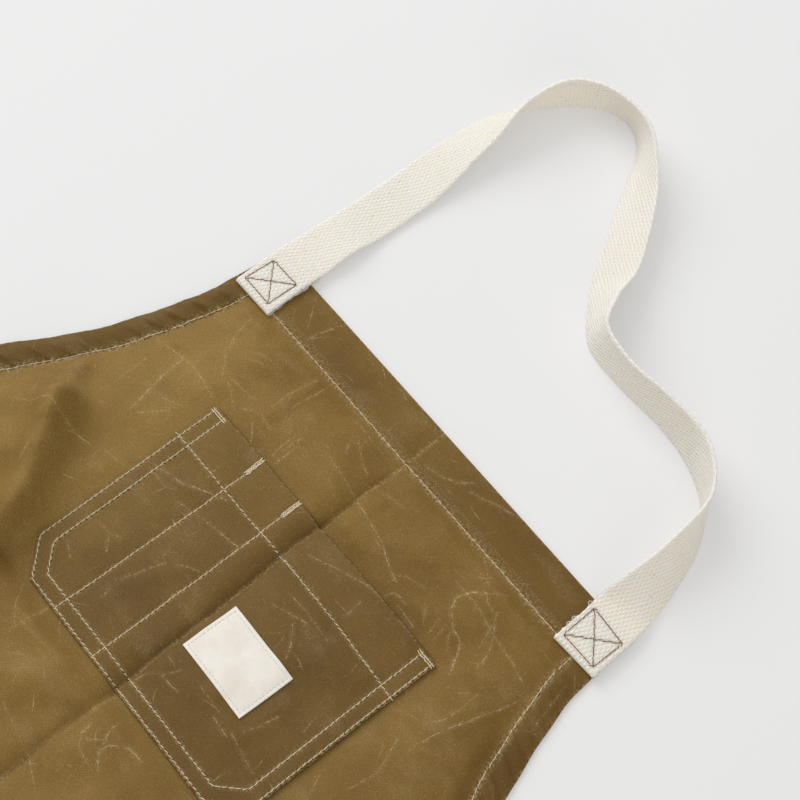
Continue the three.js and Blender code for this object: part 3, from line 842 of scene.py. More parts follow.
# Chest pocket
# A patch of the same canvas with its top turned down, its other edges turned in and its two bottom
# corners cut off. Twin rows and two dividers sew it to the bib, and it swells a little between them.
pocket_corner = 15.6
pocket_top_hem = 23.0
pocket_turn = 9.0
pocket_straight_half = 56.0
outer_row = 1.25
inner_row = 7.9
seat_gap = 0.15
divider_tops = [-41.6, -13.8]
divider_feet = [-44.1, -14.8]
pocket_puffs = [0.9, 0.9, 1.9]
pocket_puff_run = 30.0
pocket_folds = [
    ((42, 126), (70, 104), 1.3, 6, 7),
    ((57, 138), (56, 162), 1.3, 5, 4),
    ((10, 172), (34, 164), 1.0, 7, 6),
    ((-36, 166), (-20, 132), 1.2, 6, 6),
    ((20, 186), (52, 172), 0.9, 8, 7),
    ((-66, 120), (-50, 150), 0.7, 7, 7),
]
pocket_folds += scattered_folds(19, 14, (-74.0, 78.0), (104.0, 186.0), 0.85)
pocket_hem_places = [-79.0, -40.0, 0.0, 40.0, 65.0, 84.0]
pocket_hem_drops = [99.3, 99.6, 99.2, 99.6, 100.9, 102.0]


def pocket_inset(x, drop):
    side = pocket_half - np.abs(x - pocket_centre)
    foot = pocket_bottom - drop
    corner = (side + foot - pocket_corner) / math.sqrt(2.0)
    return np.minimum(np.minimum(side, foot), corner)


def divider_place(part, drop):
    return np.interp(drop, [pocket_top, pocket_bottom], [divider_tops[part], divider_feet[part]])


def pocket_swell(x, drop):
    walls = [
        np.full_like(x, pocket_centre - pocket_half + pocket_turn),
        divider_place(0, drop),
        divider_place(1, drop),
        np.full_like(x, pocket_centre + pocket_half - pocket_turn),
    ]
    swell = np.zeros_like(x)
    for height, left, right in zip(pocket_puffs, walls, walls[1:]):
        share = np.clip((x - left) / (right - left), 0.0, 1.0)
        swell += height * np.sin(math.pi * share) ** 0.75
    return swell * smooth(pocket_bottom - drop, pocket_turn, pocket_turn + pocket_puff_run)


def pocket_thick(x, drop):
    turned = np.maximum(
        turned_under(pocket_inset(x, drop), pocket_turn), turned_under(drop - pocket_top, pocket_top_hem)
    )
    return canvas_thick * (1.0 + turned)


def pocket_sewn(x, drop):
    inset = pocket_inset(x, drop)
    sewn = np.exp(-(((inset - outer_row) / 0.8) ** 2))
    sewn = np.maximum(sewn, np.exp(-(((inset - inner_row) / 0.9) ** 2)))
    for part in range(2):
        sewn = np.maximum(sewn, np.exp(-(((x - divider_place(part, drop)) / 1.0) ** 2)))
    hem_row = np.interp(x, pocket_hem_places, pocket_hem_drops)
    return np.maximum(sewn, np.exp(-(((drop - hem_row) / 0.9) ** 2)))


def pocket_sides(x, drop):
    thick = pocket_thick(x, drop)
    edge = np.minimum(pocket_inset(x, drop), drop - pocket_top)
    half = rounded_fold(edge, fold_round) * thick / 2
    loose = smooth(pocket_inset(x, drop), 2.0, 16.0)
    folds = np.zeros_like(x)
    for fold in pocket_folds:
        folds += soft_fold(x, drop, *fold)
    rolling = 0.5 + 0.34 * waves(x, drop, 23, 10, 56.0, 18.0)
    under = panel_sides(x, drop)[1] + seat_gap + pocket_swell(x, drop) + loose * (folds + rolling)
    mouth = 0.8 * (1.0 - smooth(drop, pocket_top, pocket_top + 13.0))
    middle = under + thick / 2 + mouth * smooth(pocket_inset(x, drop), 4.0, 16.0)
    kinked = loose * kinks(x, drop, pocket_marks)
    return middle - half, middle + half + kinked - 0.4 * pocket_sewn(x, drop)


pocket_marks = [
    (0.55, [(11, 88.5), (16, 86.5), (24, 83), (32, 80), (39, 77.5), (45, 76.8)]),
    (0.8, [(-71, 116.5), (-64, 114.5), (-56, 113), (-51, 109.5), (-44, 105.5), (-38, 102.5)]),
    (0.75, [(-49, 119.5), (-40, 116.5), (-30, 114.5), (-17, 112)]),
    (0.4, [(-70, 119.5), (-60, 120), (-57, 118)]),
    (0.4, [(-60.5, 124), (-59.5, 120.5)]),
    (0.4, [(-43, 127), (-35, 129)]),
    (0.5, [(-34.5, 135.5), (-33, 140.5)]),
    (0.4, [(-24, 137), (-17, 132.5)]),
    (0.45, [(-30, 143), (-34, 156), (-36.5, 163)]),
    (0.4, [(-35, 164), (-35, 172)]),
    (0.5, [(-65, 171), (-61, 173)]),
    (0.4, [(-64, 153.5), (-57, 153), (-54.5, 151.5)]),
    (0.45, [(-56, 154.5), (-52, 158.5)]),
    (0.5, [(19, 115.5), (24, 113.5), (32, 110.5)]),
    (0.4, [(20, 107), (30, 106.5), (44, 107.5)]),
    (0.65, [(32, 116.5), (37, 121), (40.5, 126)]),
    (0.4, [(70, 135), (71, 139)]),
    (0.5, [(59, 148), (57.5, 156), (56, 160)]),
    (0.6, [(44, 168), (50, 168.5)]),
    (0.5, [(55, 166.5), (70, 169)]),
    (0.35, [(29, 164), (39, 164.5)]),
    (0.35, [(1, 166), (10, 167)]),
    (0.55, [(4.5, 186), (6.5, 179), (11, 174.5), (20, 173.5)]),
    (0.4, [(13, 172), (15, 168)]),
    (0.45, [(41.5, 87), (42, 93)]),
    (0.35, [(-52, 94), (-51.5, 104)]),
]
pocket_canvas = waxed_canvas(
    "waxed_pocket_canvas", tone(115, 90, 48), tone(127, 101, 54), tone(140, 113, 64), tone(204, 186, 142)
)
pocket_left = pocket_centre - pocket_half
turn_steps = np.array([0.0, 0.22, 0.55, 0.9, 1.25, 1.7, 2.4, 3.6, 5.0, 6.3, 7.2, 7.9, 8.6, 9.6, 11.0])
across_steps = np.concatenate([turn_steps, spaced(12.2, 2.0 * pocket_half - 12.2, 1.05)])
across_steps = joined(across_steps, 2.0 * pocket_half - turn_steps)
pocket_drops = joined(
    pocket_top + np.array([0.0, 0.22, 0.55, 0.9, 1.4, 2.2, 3.4]),
    spaced(pocket_top + 4.8, pocket_bottom - 12.2, 1.15),
    pocket_bottom - turn_steps,
)
pocket_columns = pocket_left + across_steps - pocket_centre
pocket_drop, across_grid = np.meshgrid(pocket_drops, pocket_columns, indexing="ij")
room_half = pocket_half - np.maximum(0.0, pocket_corner - (pocket_bottom - pocket_drop))
room = (room_half - pocket_straight_half) / (pocket_half - pocket_straight_half)
beyond_straight = np.maximum(0.0, np.abs(across_grid) - pocket_straight_half)
pocket_x = pocket_centre + across_grid - np.sign(across_grid) * beyond_straight * (1.0 - room)
pocket_back, pocket_front = pocket_sides(pocket_x, pocket_drop)
pocket_edge = np.minimum(pocket_inset(pocket_x, pocket_drop), pocket_drop - pocket_top)
pocket_rub = 0.42 * pocket_sewn(pocket_x, pocket_drop)
pocket_rub = np.maximum(pocket_rub, 0.5 * np.exp(-((pocket_edge / 0.7) ** 2)))
pocket_crease = pocket_x - np.interp(pocket_drop, crease_drops, crease_places)
pocket_rub = np.maximum(pocket_rub, 0.4 * np.exp(-(((pocket_crease - 0.5) / 0.9) ** 2)))
pocket_layers = 1.0 - 0.3 * turned_under(pocket_drop - pocket_top, pocket_top_hem)
pocket_fields = {"layers": pocket_layers, "rub": pocket_rub}
pocket_fields |= wax_marks(pocket_x, pocket_drop, pocket_marks)
pocket = cloth_wall(
    "pocket_patch", pocket_x, pocket_drop, pocket_back, pocket_front, pocket_fields, pocket_canvas
)
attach(pocket, "root")
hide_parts("chest_pocket")

# Pocket stitches
# The same cream thread in twin rows round three sides, one row across the turned top, and one down
# each divider. Dense short stitches bar the dividers' tops and close the twin rows at the mouth.
pocket_pitch = 2.95
bar_length = 9.8
mouth_tack_drop = pocket_top + 2.2
pocket_hem_end = (83.6, 102.0)
tack_raised = 0.35
line_step = 2.0
tack_step = 1.0


def on_pocket(x, drop, above):
    x, drop = np.broadcast_arrays(np.asarray(x, float), np.asarray(drop, float))
    return np.stack([x, bib_drop - drop, pocket_sides(x, drop)[1] + above], -1)


def along_line(points, step):
    lines = []
    for first, last in zip(points, points[1:]):
        count = max(2, math.ceil(math.dist(first, last) / step) + 1)
        lines.append(np.linspace(first, last, count))
    return np.concatenate([lines[0], *[line[1:] for line in lines[1:]]])


def twin_row(inset):
    corner = pocket_corner + inset * math.tan(math.pi / 8)
    left, right = pocket_left + inset, pocket_left + 2.0 * pocket_half - inset
    low = pocket_bottom - inset
    return along_line(
        [
            (left, mouth_tack_drop),
            (left, pocket_bottom - corner),
            (pocket_left + corner, low),
            (right + inset - corner, low),
            (right, pocket_bottom - corner),
            (right, mouth_tack_drop),
        ],
        line_step,
    )


pocket_lines = [twin_row(outer_row), twin_row(inner_row)]
pocket_hem_line = [*zip(pocket_hem_places[:-1], pocket_hem_drops[:-1]), pocket_hem_end]
pocket_lines.append(along_line(pocket_hem_line, line_step))
for divider_top, divider_foot in zip(divider_tops, divider_feet):
    divider_ends = [(divider_top, pocket_top + bar_length), (divider_foot, pocket_bottom - 1.6)]
    pocket_lines.append(along_line(divider_ends, line_step))
pocket_rows = [on_pocket(line[:, 0], line[:, 1], thread_sunk) for line in pocket_lines]
pocket_stitches = sewn_rows("pocket_stitches", pocket_rows, pocket_pitch, 3.5, 0.48, cream_thread, slant, 8)
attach(pocket_stitches, "root")

# Dark grains between the pocket's stitches: painted shade for the needle holes and the thread's shadow.
pocket_shade_rows = [between_stitches(row, pocket_pitch) for row in pocket_rows]
pocket_painted_shade = sewn_rows("pocket_needle_hole_shade", pocket_shade_rows, pocket_pitch, 1.0, 0.56, needle_shade, seed=9)
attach(pocket_painted_shade, "root")

bar_lines = [
    along_line([(place, pocket_top + 0.9), (place, pocket_top + bar_length)], tack_step)
    for divider_top in divider_tops
    for place in (divider_top - 0.8, divider_top, divider_top + 0.8)
]
bar_rows = [on_pocket(line[:, 0], line[:, 1], tack_raised) for line in bar_lines]
bar_tacks = sewn_rows("bar_tacks", bar_rows, 1.6, 3.0, 0.56, cream_thread, 0.0, 12, 0.35)
bar_ties = sewn_rows("bar_ties", bar_rows[1::3], 1.2, 2.9, 0.5, cream_thread, 1.1, 13, 0.4)
for tack in (bar_tacks, bar_ties):
    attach(tack, "root")

mouth_tack_ends = (
    (pocket_left + outer_row - 0.5, pocket_left + inner_row + 1.0),
    (pocket_left + 2.0 * pocket_half - inner_row - 1.0, pocket_left + 2.0 * pocket_half - outer_row + 0.5),
)
mouth_lines = [
    along_line([(first, mouth_tack_drop + aside), (last, mouth_tack_drop + aside)], tack_step)
    for first, last in mouth_tack_ends
    for aside in (-0.55, 0.55)
]
mouth_rows = [on_pocket(line[:, 0], line[:, 1], tack_raised) for line in mouth_lines]
mouth_tacks = sewn_rows("mouth_tacks", mouth_rows, 1.3, 2.6, 0.56, cream_thread, 0.0, 15, 0.35)
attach(mouth_tacks, "root")

# Label
# A small bare label of white cotton twill, its edges pressed under, sewn to the pocket with a border of
# fine white stitches.
label_size = (43.4, 29.4)
label_middle = (28.3, 144.5)
label_turn = math.radians(-1.25)
label_thick = 0.8
label_border = 1.9


def label_spot(across, down):
    x = label_middle[0] + across * math.cos(label_turn) + down * math.sin(label_turn)
    drop = label_middle[1] + down * math.cos(label_turn) - across * math.sin(label_turn)
    return x, drop


def label_sides(across, down):
    x, drop = label_spot(across, down)
    inset = np.minimum(label_size[0] / 2 - np.abs(across), label_size[1] / 2 - np.abs(down))
    half = rounded_fold(inset, 0.5) * label_thick / 2
    puff = 0.35 * smooth(inset, label_border, label_border + 6.0)
    sewn = 0.22 * np.exp(-(((inset - label_border) / 0.5) ** 2))
    middle = pocket_sides(x, drop)[1] + 0.12 + label_thick / 2 + puff
    return middle - half, middle + half - sewn


def cotton_twill(name):
    material, tree, shader = new_finish(name)
    place = place_in_mm(tree)
    x, y, _ = axes_of(tree, place)
    slant = sums(tree, "MULTIPLY", sums(tree, "MULTIPLY_ADD", y, 0.9, x), math.tau / 0.85)
    ribs = sums(tree, "MULTIPLY_ADD", sums(tree, "SINE", slant), 0.5, 0.5)
    fibres = cloudy(tree, stretched(tree, place, 0.5, 3.0), 0.8, 3.0, 0.6)
    soil = cloudy(tree, place, 11.0, 4.0, 0.6)
    colour = mixed(tree, eased(tree, soil, 0.3, 0.75), tone(246, 241, 233), tone(237, 230, 217))
    weave = sums(tree, "ADD", sums(tree, "MULTIPLY", ribs, 0.6), sums(tree, "MULTIPLY", fibres, 0.5))
    colour = mixed(tree, eased(tree, weave, 0.1, 0.85, 0.3, 0.0), colour, tone(205, 196, 182))
    feed(tree, shader.inputs["Base Color"], colour)
    shader.inputs["Roughness"].default_value = 0.85
    shader.inputs["Sheen Weight"].default_value = 0.12
    feed(tree, shader.inputs["Normal"], bumped(tree, weave, 0.1 * mm, strength=0.8))
    return material


label_cloth = cotton_twill("label_twill")
label_steps = np.array([0.0, 0.1, 0.25, 0.5, 0.95, 1.4, 1.9, 2.4, 3.0])
label_across = np.concatenate([label_steps, spaced(4.0, label_size[0] - 4.0, 1.0)])
label_across = joined(label_across, label_size[0] - label_steps) - label_size[0] / 2
label_down = np.concatenate([label_steps, spaced(4.0, label_size[1] - 4.0, 1.0)])
label_down = joined(label_down, label_size[1] - label_steps) - label_size[1] / 2
down_grid, side_grid = np.meshgrid(label_down, label_across, indexing="ij")
label_x, label_drop = label_spot(side_grid, down_grid)
label_back, label_front = label_sides(side_grid, down_grid)
label = cloth_wall("woven_label", label_x, label_drop, label_back, label_front, {}, label_cloth)
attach(label, "root")
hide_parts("label")

white_thread = fibre_thread("white_thread", tone(246, 243, 238), tone(196, 190, 180), 0.8)
border_x = label_size[0] / 2 - label_border
border_y = label_size[1] / 2 - label_border
border_corners = [(-1, -1), (1, -1), (1, 1), (-1, 1), (-1, -1)]
border = along_line([(x * border_x, y * border_y) for x, y in border_corners], 1.5)
border_spot = label_spot(border[:, 0], border[:, 1])
border_row = np.stack(
    [border_spot[0], bib_drop - border_spot[1], label_sides(border[:, 0], border[:, 1])[1] + 0.1], -1
)
label_stitches = sewn_rows("label_stitches", [border_row], 2.1, 1.7, 0.42, white_thread, seed=21)
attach(label_stitches, "root")

# Neck strap
# One length of natural cotton webbing, an inch wide and woven in staggered floats along the band. Both
# ends are folded under and sewn to the bib. It twists up on its edge and over as it goes round the loop.
webbing_width = 25.4
webbing_thick = 2.0
on_hem = 2.3
sewn_layers = 1.7
float_length = 4.1
float_width = 1.1
section_step = 0.72

# Route of the edge on the outside of the bends: across, up from the bib's top edge, lift, tilt in
# degrees (0 lies flat, 90 stands on that edge), and layers.
neck_stations = np.array(
    [
        (-128.6, -28, on_hem, 0, sewn_layers),
        (-128.8, 0, on_hem, 0, sewn_layers),
        (-128.7, 10, 1.8, 4, 1),
        (-128.4, 25, 0.5, 10, 1),
        (-128, 46, 0, 3, 1),
        (-127.4, 75.6, 0, 6, 1),
        (-127.4, 106, 0, 24, 1),
        (-124.4, 129.2, 0, 40, 1),
        (-115.6, 149.2, 0, 70, 1),
        (-104, 167.4, 0, 88, 1),
        (-89.7, 180.6, 0, 84, 1),
        (-74.7, 184, 0, 83, 1),
        (-60.7, 176.6, 0, 98, 1),
        (-46.7, 153.6, 0, 130, 1),
        (-30.7, 126.6, 0, 145, 1),
        (-20.7, 110.6, 0, 144, 1),
        (-7.7, 95.6, 0, 121, 1),
        (7.3, 83.6, 0, 105, 1),
        (31.3, 81, 0, 97, 1),
        (59.3, 81.6, 0, 101, 1),
        (83.3, 78, 0, 106, 1),
        (104.3, 67.6, 0, 92, 1),
        (116.5, 52.6, 0, 70, 1),
        (124, 33, 0, 53, 1),
        (129.2, 14, 1.2, 28, 1),
        (131.0, 1.8, on_hem, 4, sewn_layers),
        (132.3, -26.1, on_hem, 0, sewn_layers),
    ],
    float,
)


# A smooth curve through stations, with the ends carried on straight. Even spans weigh every station
# alike, and the others follow the root of the distance between stations, which keeps bends from looping.
def through_stations(stations, shares, even):
    padded = np.concatenate([[2 * stations[0] - stations[1]], stations, [2 * stations[-1] - stations[-2]]])
    place = shares * (len(stations) - 1)
    span = np.minimum(place.astype(int), len(stations) - 2)
    share = (place - span)[:, None]
    before, start, stop, after = (padded[span + step] for step in range(4))
    if even:
        leave, arrive = (stop - before) / 2, (after - start) / 2
    else:
        spans = ((before, start), (start, stop), (stop, after))
        gaps = [np.sqrt(np.linalg.norm(last - first, axis=1))[:, None] for first, last in spans]
        leave = (start - before) / gaps[0] - (stop - before) / (gaps[0] + gaps[1]) + (stop - start) / gaps[1]
        arrive = (stop - start) / gaps[1] - (after - start) / (gaps[1] + gaps[2]) + (after - stop) / gaps[2]
        leave, arrive = leave * gaps[1], arrive * gaps[1]
    square = 3 * (stop - start) - 2 * leave - arrive
    cube = 2 * (start - stop) + leave + arrive
    return start + share * (leave + share * (square + share * cube))


def webbing_sections(stations, hand, step):
    shares = np.linspace(0.0, 1.0, 6001)
    flat_route = through_stations(stations[:, :2] * (hand, 1.0), shares, False)
    lengths = np.concatenate([[0.0], np.cumsum(np.linalg.norm(np.diff(flat_route, axis=0), axis=1))])
    along = np.linspace(0.0, lengths[-1], round(lengths[-1] / step) + 1)
    shares = np.interp(along, lengths, shares)
    route = through_stations(stations[:, :2] * (hand, 1.0), shares, False)
    pose = np.maximum(0.0, through_stations(stations[:, 2:], shares, True))
    heading = np.gradient(route, axis=0)
    heading /= np.linalg.norm(heading, axis=1)[:, None]
    tilt = np.radians(pose[:, 1])
    inward = np.stack([heading[:, 1], -heading[:, 0]], -1) * hand
    across = np.concatenate([inward * np.cos(tilt)[:, None], np.sin(tilt)[:, None]], -1)
    layer = np.cross(across, np.concatenate([heading, np.zeros((len(along), 1))], -1))
    half = pose[:, 2] * webbing_thick / 2
    height = pose[:, 0] + np.abs(layer[:, 2]) * half
    edge = np.concatenate([route + (0.0, bib_drop), height[:, None]], -1)
    return {
        "along": along,
        "edge": edge,
        "across": across,
        "layer": layer,
        "half": half,
        "doubled": pose[:, 2] - 1.0,
    }


# The band is a closed tube of flat sections: two broad faces and two scalloped selvedges, each with a
# groove between the layers where the end is folded under. Both ends are rounded off.
def woven_band(name, sections, row_step, boxes, seed, material):
    random = np.random.default_rng(seed)
    rims = np.array([0.4, 0.9])
    broad = np.concatenate([rims, spaced(1.7, webbing_width - 1.7, row_step), webbing_width - rims[::-1]])
    broad_share = np.where(np.minimum(broad, webbing_width - broad) < 0.6, 0.86, 1.0)
    side_share = np.array([0.52, 0.0, -0.52])
    count = len(sections["along"])
    along = sections["along"]
    to_end = np.minimum(along, along[-1] - along)
    half = sections["half"] * (0.12 + 0.88 * rounded_fold(to_end, 1.5))
    doubled = np.clip(sections["doubled"] / (sewn_layers - 1.0), 0.0, 1.0)
    picks = np.arange(0.0, along[-1] + float_length, float_length / 2)
    unevenness = [np.interp(along, picks, random.uniform(-1.0, 1.0, picks.size)) for _ in range(4)]
    scallop = 0.07 * np.cos(along * math.tau / (float_length / 2))
    outlines = []
    for near, far in (unevenness[:2], unevenness[2:]):
        swell = scallop + (0.08 + 0.45 * doubled) * near
        under_swell = scallop + (0.08 + 0.6 * doubled) * far
        outlines.append(np.stack([-swell, 0.6 * doubled - 0.4 * scallop, -under_swell], -1))
    width = np.concatenate(
        [
            np.broadcast_to(broad, (count, broad.size)),
            webbing_width - outlines[0],
            np.broadcast_to(broad[::-1], (count, broad.size)),
            outlines[1],
        ],
        axis=1,
    )
    rise = np.concatenate([broad_share, side_share, -broad_share[::-1], side_share[::-1]])
    rise = half[:, None] * rise
    spots = np.stack([np.broadcast_to(along[:, None], (count, broad.size)), width[:, : broad.size]], -1)
    pulled = np.zeros(spots.shape[:2])
    for corners in boxes:
        for ends in itertools.combinations(corners, 2):
            away = stretch_to(spots[..., 0], spots[..., 1], *ends)[1]
            pulled = np.maximum(pulled, np.exp(-((away / 1.0) ** 2)))
    rise[:, : broad.size] -= 0.45 * pulled
    points = sections["edge"][:, None, :] + width[..., None] * sections["across"][:, None, :]
    points += rise[..., None] * sections["layer"][:, None, :]
    ring = rise.shape[1]
    places = np.arange(count * ring).reshape(count, ring)
    nexts = np.roll(places, -1, axis=1)
    faces = np.stack([places[:-1], places[1:], nexts[1:], nexts[:-1]], -1).reshape(-1, 4)
    span = np.arange(broad.size - 1)
    mirror = broad.size + 3 + broad.size - 1 - span
    caps = []
    for row, flip in ((0, 1), (count - 1, -1)):
        cap = np.stack([places[row, corner] for corner in (span, span + 1, mirror - 1, mirror)], -1)
        right = places[row, broad.size - 1 + np.arange(5)]
        left = places[row, (2 * broad.size + 2 + np.arange(5)) % ring]
        caps += [face[::flip].tolist() for face in [*cap, right, left]]
    mesh = bpy.data.meshes.new(name)
    mesh.from_pydata((points * mm).reshape(-1, 3).tolist(), [], faces.tolist() + caps)
    spot = np.stack([np.broadcast_to(along[:, None], width.shape), width, np.sign(rise)], -1)
    mesh.attributes.new("woven_place", "FLOAT_VECTOR", "POINT").data.foreach_set(
        "vector", spot.astype(np.float32).ravel()
    )
    mesh.shade_smooth()
    mesh.materials.append(material)
    piece = bpy.data.objects.new(name, mesh)
    bpy.context.scene.collection.objects.link(piece)
    return piece


# Natural cotton webbing: rows of floats along the band in a brick order, with shade in the gaps between
# them, soft fibre and the odd dark fleck of seed. Light passes a little way into it.
def cotton_webbing(name):
    material, tree, shader = new_finish(name)
    spot = field_of(tree, "woven_place", "Vector")
    along, across, _ = axes_of(tree, spot)
    fuzz = cloudy(tree, spot, 0.8, 3.0, 0.65)
    wander = sums(tree, "SUBTRACT", cloudy(tree, spot, 3.0, 2.0), 0.5)
    across = sums(tree, "MULTIPLY_ADD", wander, 0.3, across)
    along = sums(tree, "MULTIPLY_ADD", wander, 0.5, along)
    row = sums(tree, "DIVIDE", across, float_width)
    stagger = sums(tree, "MULTIPLY", sums(tree, "FLOOR", row), 0.5)
    in_row = sums(tree, "SUBTRACT", sums(tree, "FRACT", row), 0.5)
    place = sums(tree, "ADD", sums(tree, "DIVIDE", along, float_length), stagger)
    in_float = sums(tree, "SUBTRACT", sums(tree, "FRACT", place), 0.5)
    slanted = sums(tree, "MULTIPLY_ADD", in_row, -0.1, in_float)
    long_way = sums(tree, "POWER", sums(tree, "DIVIDE", slanted, 0.43), 2.0)
    short_way = sums(tree, "POWER", sums(tree, "DIVIDE", in_row, 0.6), 2.0)
    dome = sums(tree, "SUBTRACT", 1.0, sums(tree, "ADD", long_way, short_way))
    dome = sums(tree, "POWER", sums(tree, "MAXIMUM", dome, 0.0), 0.6)
    soil = cloudy(tree, spot, 14.0, 3.0, 0.6)
    colour = mixed(tree, eased(tree, soil, 0.3, 0.7), tone(253, 247, 239), tone(252, 245, 234))
    gap = eased(tree, sums(tree, "MULTIPLY_ADD", fuzz, 0.35, dome), 0.1, 0.8, 0.5, 0.0)
    from_middle = sums(tree, "ABSOLUTE", sums(tree, "SUBTRACT", across, webbing_width / 2))
    gap = sums(tree, "MULTIPLY", gap, eased(tree, from_middle, 11.4, 12.6, 1.0, 0.3))
    colour = mixed(tree, gap, colour, tone(224, 202, 164))
    inputs = {"Vector": spot, "Scale": 0.13}
    specks = made_node(tree, "ShaderNodeTexVoronoi", inputs, voronoi_dimensions="2D").outputs
    chance = made_node(tree, "ShaderNodeSeparateColor", {0: specks["Color"]}).outputs[0]
    fleck = eased(tree, specks["Distance"], 0.02, 0.05, 1.0, 0.0)
    fleck = sums(tree, "MULTIPLY", fleck, eased(tree, chance, 0.6, 0.7))
    colour = mixed(tree, sums(tree, "MULTIPLY", fleck, 0.7), colour, tone(120, 92, 62))
    feed(tree, shader.inputs["Base Color"], colour)
    shader.inputs["Roughness"].default_value = 0.9
    shader.inputs["Sheen Weight"].default_value = 0.15
    shader.inputs["Specular IOR Level"].default_value = 0.25
    shader.inputs["Subsurface Weight"].default_value = 0.5
    shader.inputs["Subsurface Radius"].default_value = (1.0, 0.9, 0.75)
    shader.inputs["Subsurface Scale"].default_value = 5.0 * mm
    height = sums(tree, "MULTIPLY_ADD", fuzz, 0.25, dome)
    feed(tree, shader.inputs["Normal"], bumped(tree, height, 0.6 * mm, strength=0.9))
    return material


natural_webbing = cotton_webbing("natural_webbing")
right_hand, left_hand = 1.0, -1.0
neck_sections = webbing_sections(neck_stations, right_hand, section_step)
neck_length = neck_sections["along"][-1]

# Corners of the sewn boxes: along the webbing, and across it.
neck_boxes = [
    [(4.2, 2.6), (20.8, 4.0), (21.0, 21.9), (3.9, 21.0)],
    [
        (neck_length - 3.8, 23.0),
        (neck_length - 23.0, 22.6),
        (neck_length - 20.6, 2.4),
        (neck_length - 3.2, 3.3),
    ],
]
neck_band = woven_band("neck_webbing", neck_sections, 0.9, neck_boxes, 41, natural_webbing)
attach(neck_band, "root")
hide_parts("neck_strap")

# Waist ties
# Two lengths of the same webbing, folded under and sewn at the waist corners. Each turns down on its
# edge and lies beside the skirt.
tie_stations = np.array(
    [
        (306, -303, on_hem, 0, sewn_layers),
        (339, -303, on_hem, 0, sewn_layers),
        (352, -304, 1.6, 8, 1),
        (374, -312, 0, 45, 1),
        (390, -331, 0, 76, 1),
        (398, -358, 0, 72, 1),
        (402, -390, 0, 34, 1),
        (404, -430, 0, 4, 1),
        (404, -520, 0, 0, 1),
        (400, -760, 0, 0, 1),
        (394, -970, 0, 0, 1),
    ],
    float,
)
tie_sections = [webbing_sections(tie_stations, hand, section_step) for hand in (right_hand, left_hand)]
tie_box = [(3.0, 2.8), (3.0, 22.6), (24.0, 22.6), (24.0, 2.8)]
for seed, side, sections in zip((43, 47), ("right", "left"), tie_sections):
    tie = woven_band(f"waist_webbing_{side}", sections, 1.3, [tie_box], seed, natural_webbing)
    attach(tie, "root")
    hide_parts(f"waist_tie_{side}")

# Boxed crosses
# Fine brown thread sews each folded webbing end down in a box with a cross in it, and one row crosses
# each tie near its free end.
brown_thread = fibre_thread("brown_thread", tone(130, 74, 28), tone(88, 50, 18), 0.75)
box_corners = [(neck_sections, box) for box in neck_boxes]
box_corners += [(sections, tie_box) for sections in tie_sections]


def on_webbing(sections, line):
    def at(values):
        return np.stack([np.interp(line[:, 0], sections["along"], value) for value in values.T], -1)

    half = np.interp(line[:, 0], sections["along"], sections["half"])
    way_out = at(sections["layer"])
    way_out *= np.sign(way_out[:, 2:])
    return at(sections["edge"]) + line[:, 1:] * at(sections["across"]) + (half - 0.12)[:, None] * way_out


# The stitches of a cross swing from side to side.
def wavering(line):
    way = (line[-1] - line[0]) / math.dist(line[0], line[-1])
    swing = 0.22 * np.sin(math.tau / 4.4 * (line - line[0]) @ way)
    return line + swing[:, None] * (-way[1], way[0])


cross_rows = []
for sections, (a, b, c, d) in box_corners:
    middle = tuple(np.add(a, d) / 2)
    cross_rows.append(on_webbing(sections, along_line([middle, a, b, c, d, middle], 1.5)))
    for corner, opposite in ((a, c), (b, d)):
        line = wavering(along_line([corner, opposite], 0.7))
        cross_rows.append(on_webbing(sections, line[2:-2]))
for sections in tie_sections:
    near_end = sections["along"][-1] - 8.0
    cross_rows.append(on_webbing(sections, along_line([(near_end, 2.4), (near_end, 23.0)], 1.5)))
boxed_crosses = sewn_rows("boxed_crosses", cross_rows, 2.2, 2.8, 0.42, brown_thread, slant, 30)
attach(boxed_crosses, "root")

# Frayed loops
# A few loose turns of the strap's white cotton yarn, which stand out past its selvedges at the right
# corner of the bib, where the folded end has come a little undone.
fray_spots = [(23.5, 25.0, 1.5), (12.5, 25.0, 1.2), (9.0, 25.0, 0.9), (10.0, 0.4, -1.1)]
fray_rows = []
for from_end, start, reach in fray_spots:
    turn = np.linspace(0.0, math.pi, 9)
    fray_line = np.stack([neck_length - from_end + 1.1 * np.cos(turn), start + reach * np.sin(turn)], -1)
    fray_rows.append(on_webbing(neck_sections, fray_line))
frayed_loops = sewn_rows("frayed_loops", fray_rows, 0.4, 0.8, 0.42, white_thread, seed=34)
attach(frayed_loops, "root")

# Floor
# A plain pale floor under the apron. A faint painted glow of its own lightens it and the shadows on it.
floor_half = 3.0
floor_mesh = bpy.data.meshes.new("floor")
floor_level = -0.0002
floor_corners = [(-1, -1), (1, -1), (1, 1), (-1, 1)]
floor_points = [(x * floor_half, y * floor_half, floor_level) for x, y in floor_corners]
floor_mesh.from_pydata(floor_points, [], [(0, 1, 2, 3)])
floor = bpy.data.objects.new("floor", floor_mesh)
bpy.context.scene.collection.objects.link(floor)
floor_finish, floor_tree, floor_shader = new_finish("pale_floor")
floor_shade = cloudy(floor_tree, place_in_mm(floor_tree), 240.0, 2.0)
floor_colour = mixed(floor_tree, floor_shade, tone(193, 193, 193), tone(196, 196, 196))
feed(floor_tree, floor_shader.inputs["Base Color"], floor_colour)
# Painted glow: the floor shines a little of its own, which lightens the shadows on it.
floor_shader.inputs["Emission Color"].default_value = (1.0, 1.0, 1.0, 1.0)
floor_shader.inputs["Emission Strength"].default_value = 0.285
floor_shader.inputs["Roughness"].default_value = 0.9
floor_shader.inputs["Specular IOR Level"].default_value = 0.1
floor_mesh.materials.append(floor_finish)

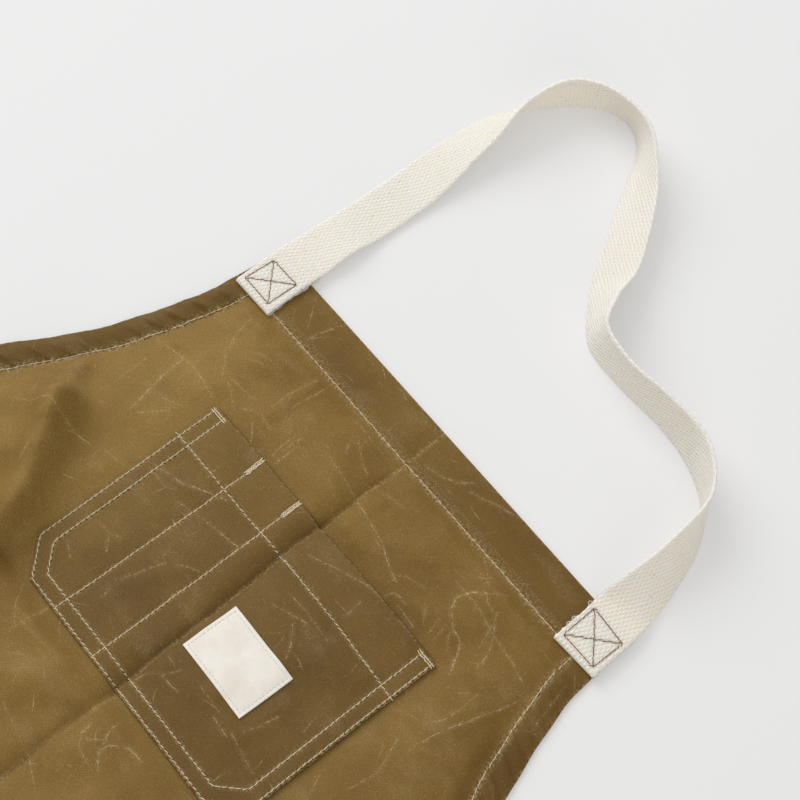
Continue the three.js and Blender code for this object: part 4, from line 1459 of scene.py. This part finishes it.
# Studio light
# Faint light from all round, a broad soft lamp overhead, a stronger one on the left of the bib, and a warm
# one low on the right that fills the shade.
studio = bpy.data.worlds.new("studio")
studio.use_nodes = True
studio.node_tree.nodes["Background"].inputs["Color"].default_value = (1.0, 1.0, 1.0, 1.0)
studio.node_tree.nodes["Background"].inputs["Strength"].default_value = 0.38
bpy.context.scene.world = studio
bpy.context.scene.view_settings.view_transform = "Standard"
look_point = Vector((-0.0290, 0.2948, 0.0))
for name, lamp_way, distance, size, energy, colour in (
    ("left_lamp", Vector((-0.76, 0.05, 0.65)).normalized(), 2.7, 2.2, 46.0, (1.0, 1.0, 1.0)),
    ("top_lamp", Vector((-0.1, 0.2, 0.97)).normalized(), 2.5, 2.4, 13.0, (1.0, 1.0, 1.0)),
    ("right_fill", Vector((0.8, -0.45, 0.4)).normalized(), 2.6, 2.0, 16.0, (1.0, 0.95, 0.87)),
):
    lamp_data = bpy.data.lights.new(name, "AREA")
    lamp_data.shape = "DISK"
    lamp_data.size = size
    lamp_data.energy = energy
    lamp_data.color = colour
    lamp = bpy.data.objects.new(name, lamp_data)
    lamp.location = look_point + lamp_way * distance
    lamp.rotation_mode = "QUATERNION"
    lamp.rotation_quaternion = lamp_way.to_track_quat("Z", "Y")
    bpy.context.scene.collection.objects.link(lamp)

# Camera
# It looks down at the bib from the right of the apron, with the neck loop at the upper right.
camera_azimuth = math.radians(50.9)
camera_elevation = math.radians(64.89)
camera_distance = 0.9
camera_data = bpy.data.cameras.new("camera")
camera_data.sensor_width = 36.0
camera_data.lens = 84.87
camera_data.clip_start = 0.01
camera = bpy.data.objects.new("camera", camera_data)
camera_back = Vector(
    (
        math.sin(camera_azimuth) * math.cos(camera_elevation),
        -math.cos(camera_azimuth) * math.cos(camera_elevation),
        math.sin(camera_elevation),
    )
)
camera.location = look_point + camera_back * camera_distance
camera.rotation_mode = "QUATERNION"
camera.rotation_quaternion = (-camera_back).to_track_quat("-Z", "Y")
bpy.context.scene.collection.objects.link(camera)
bpy.context.scene.camera = camera
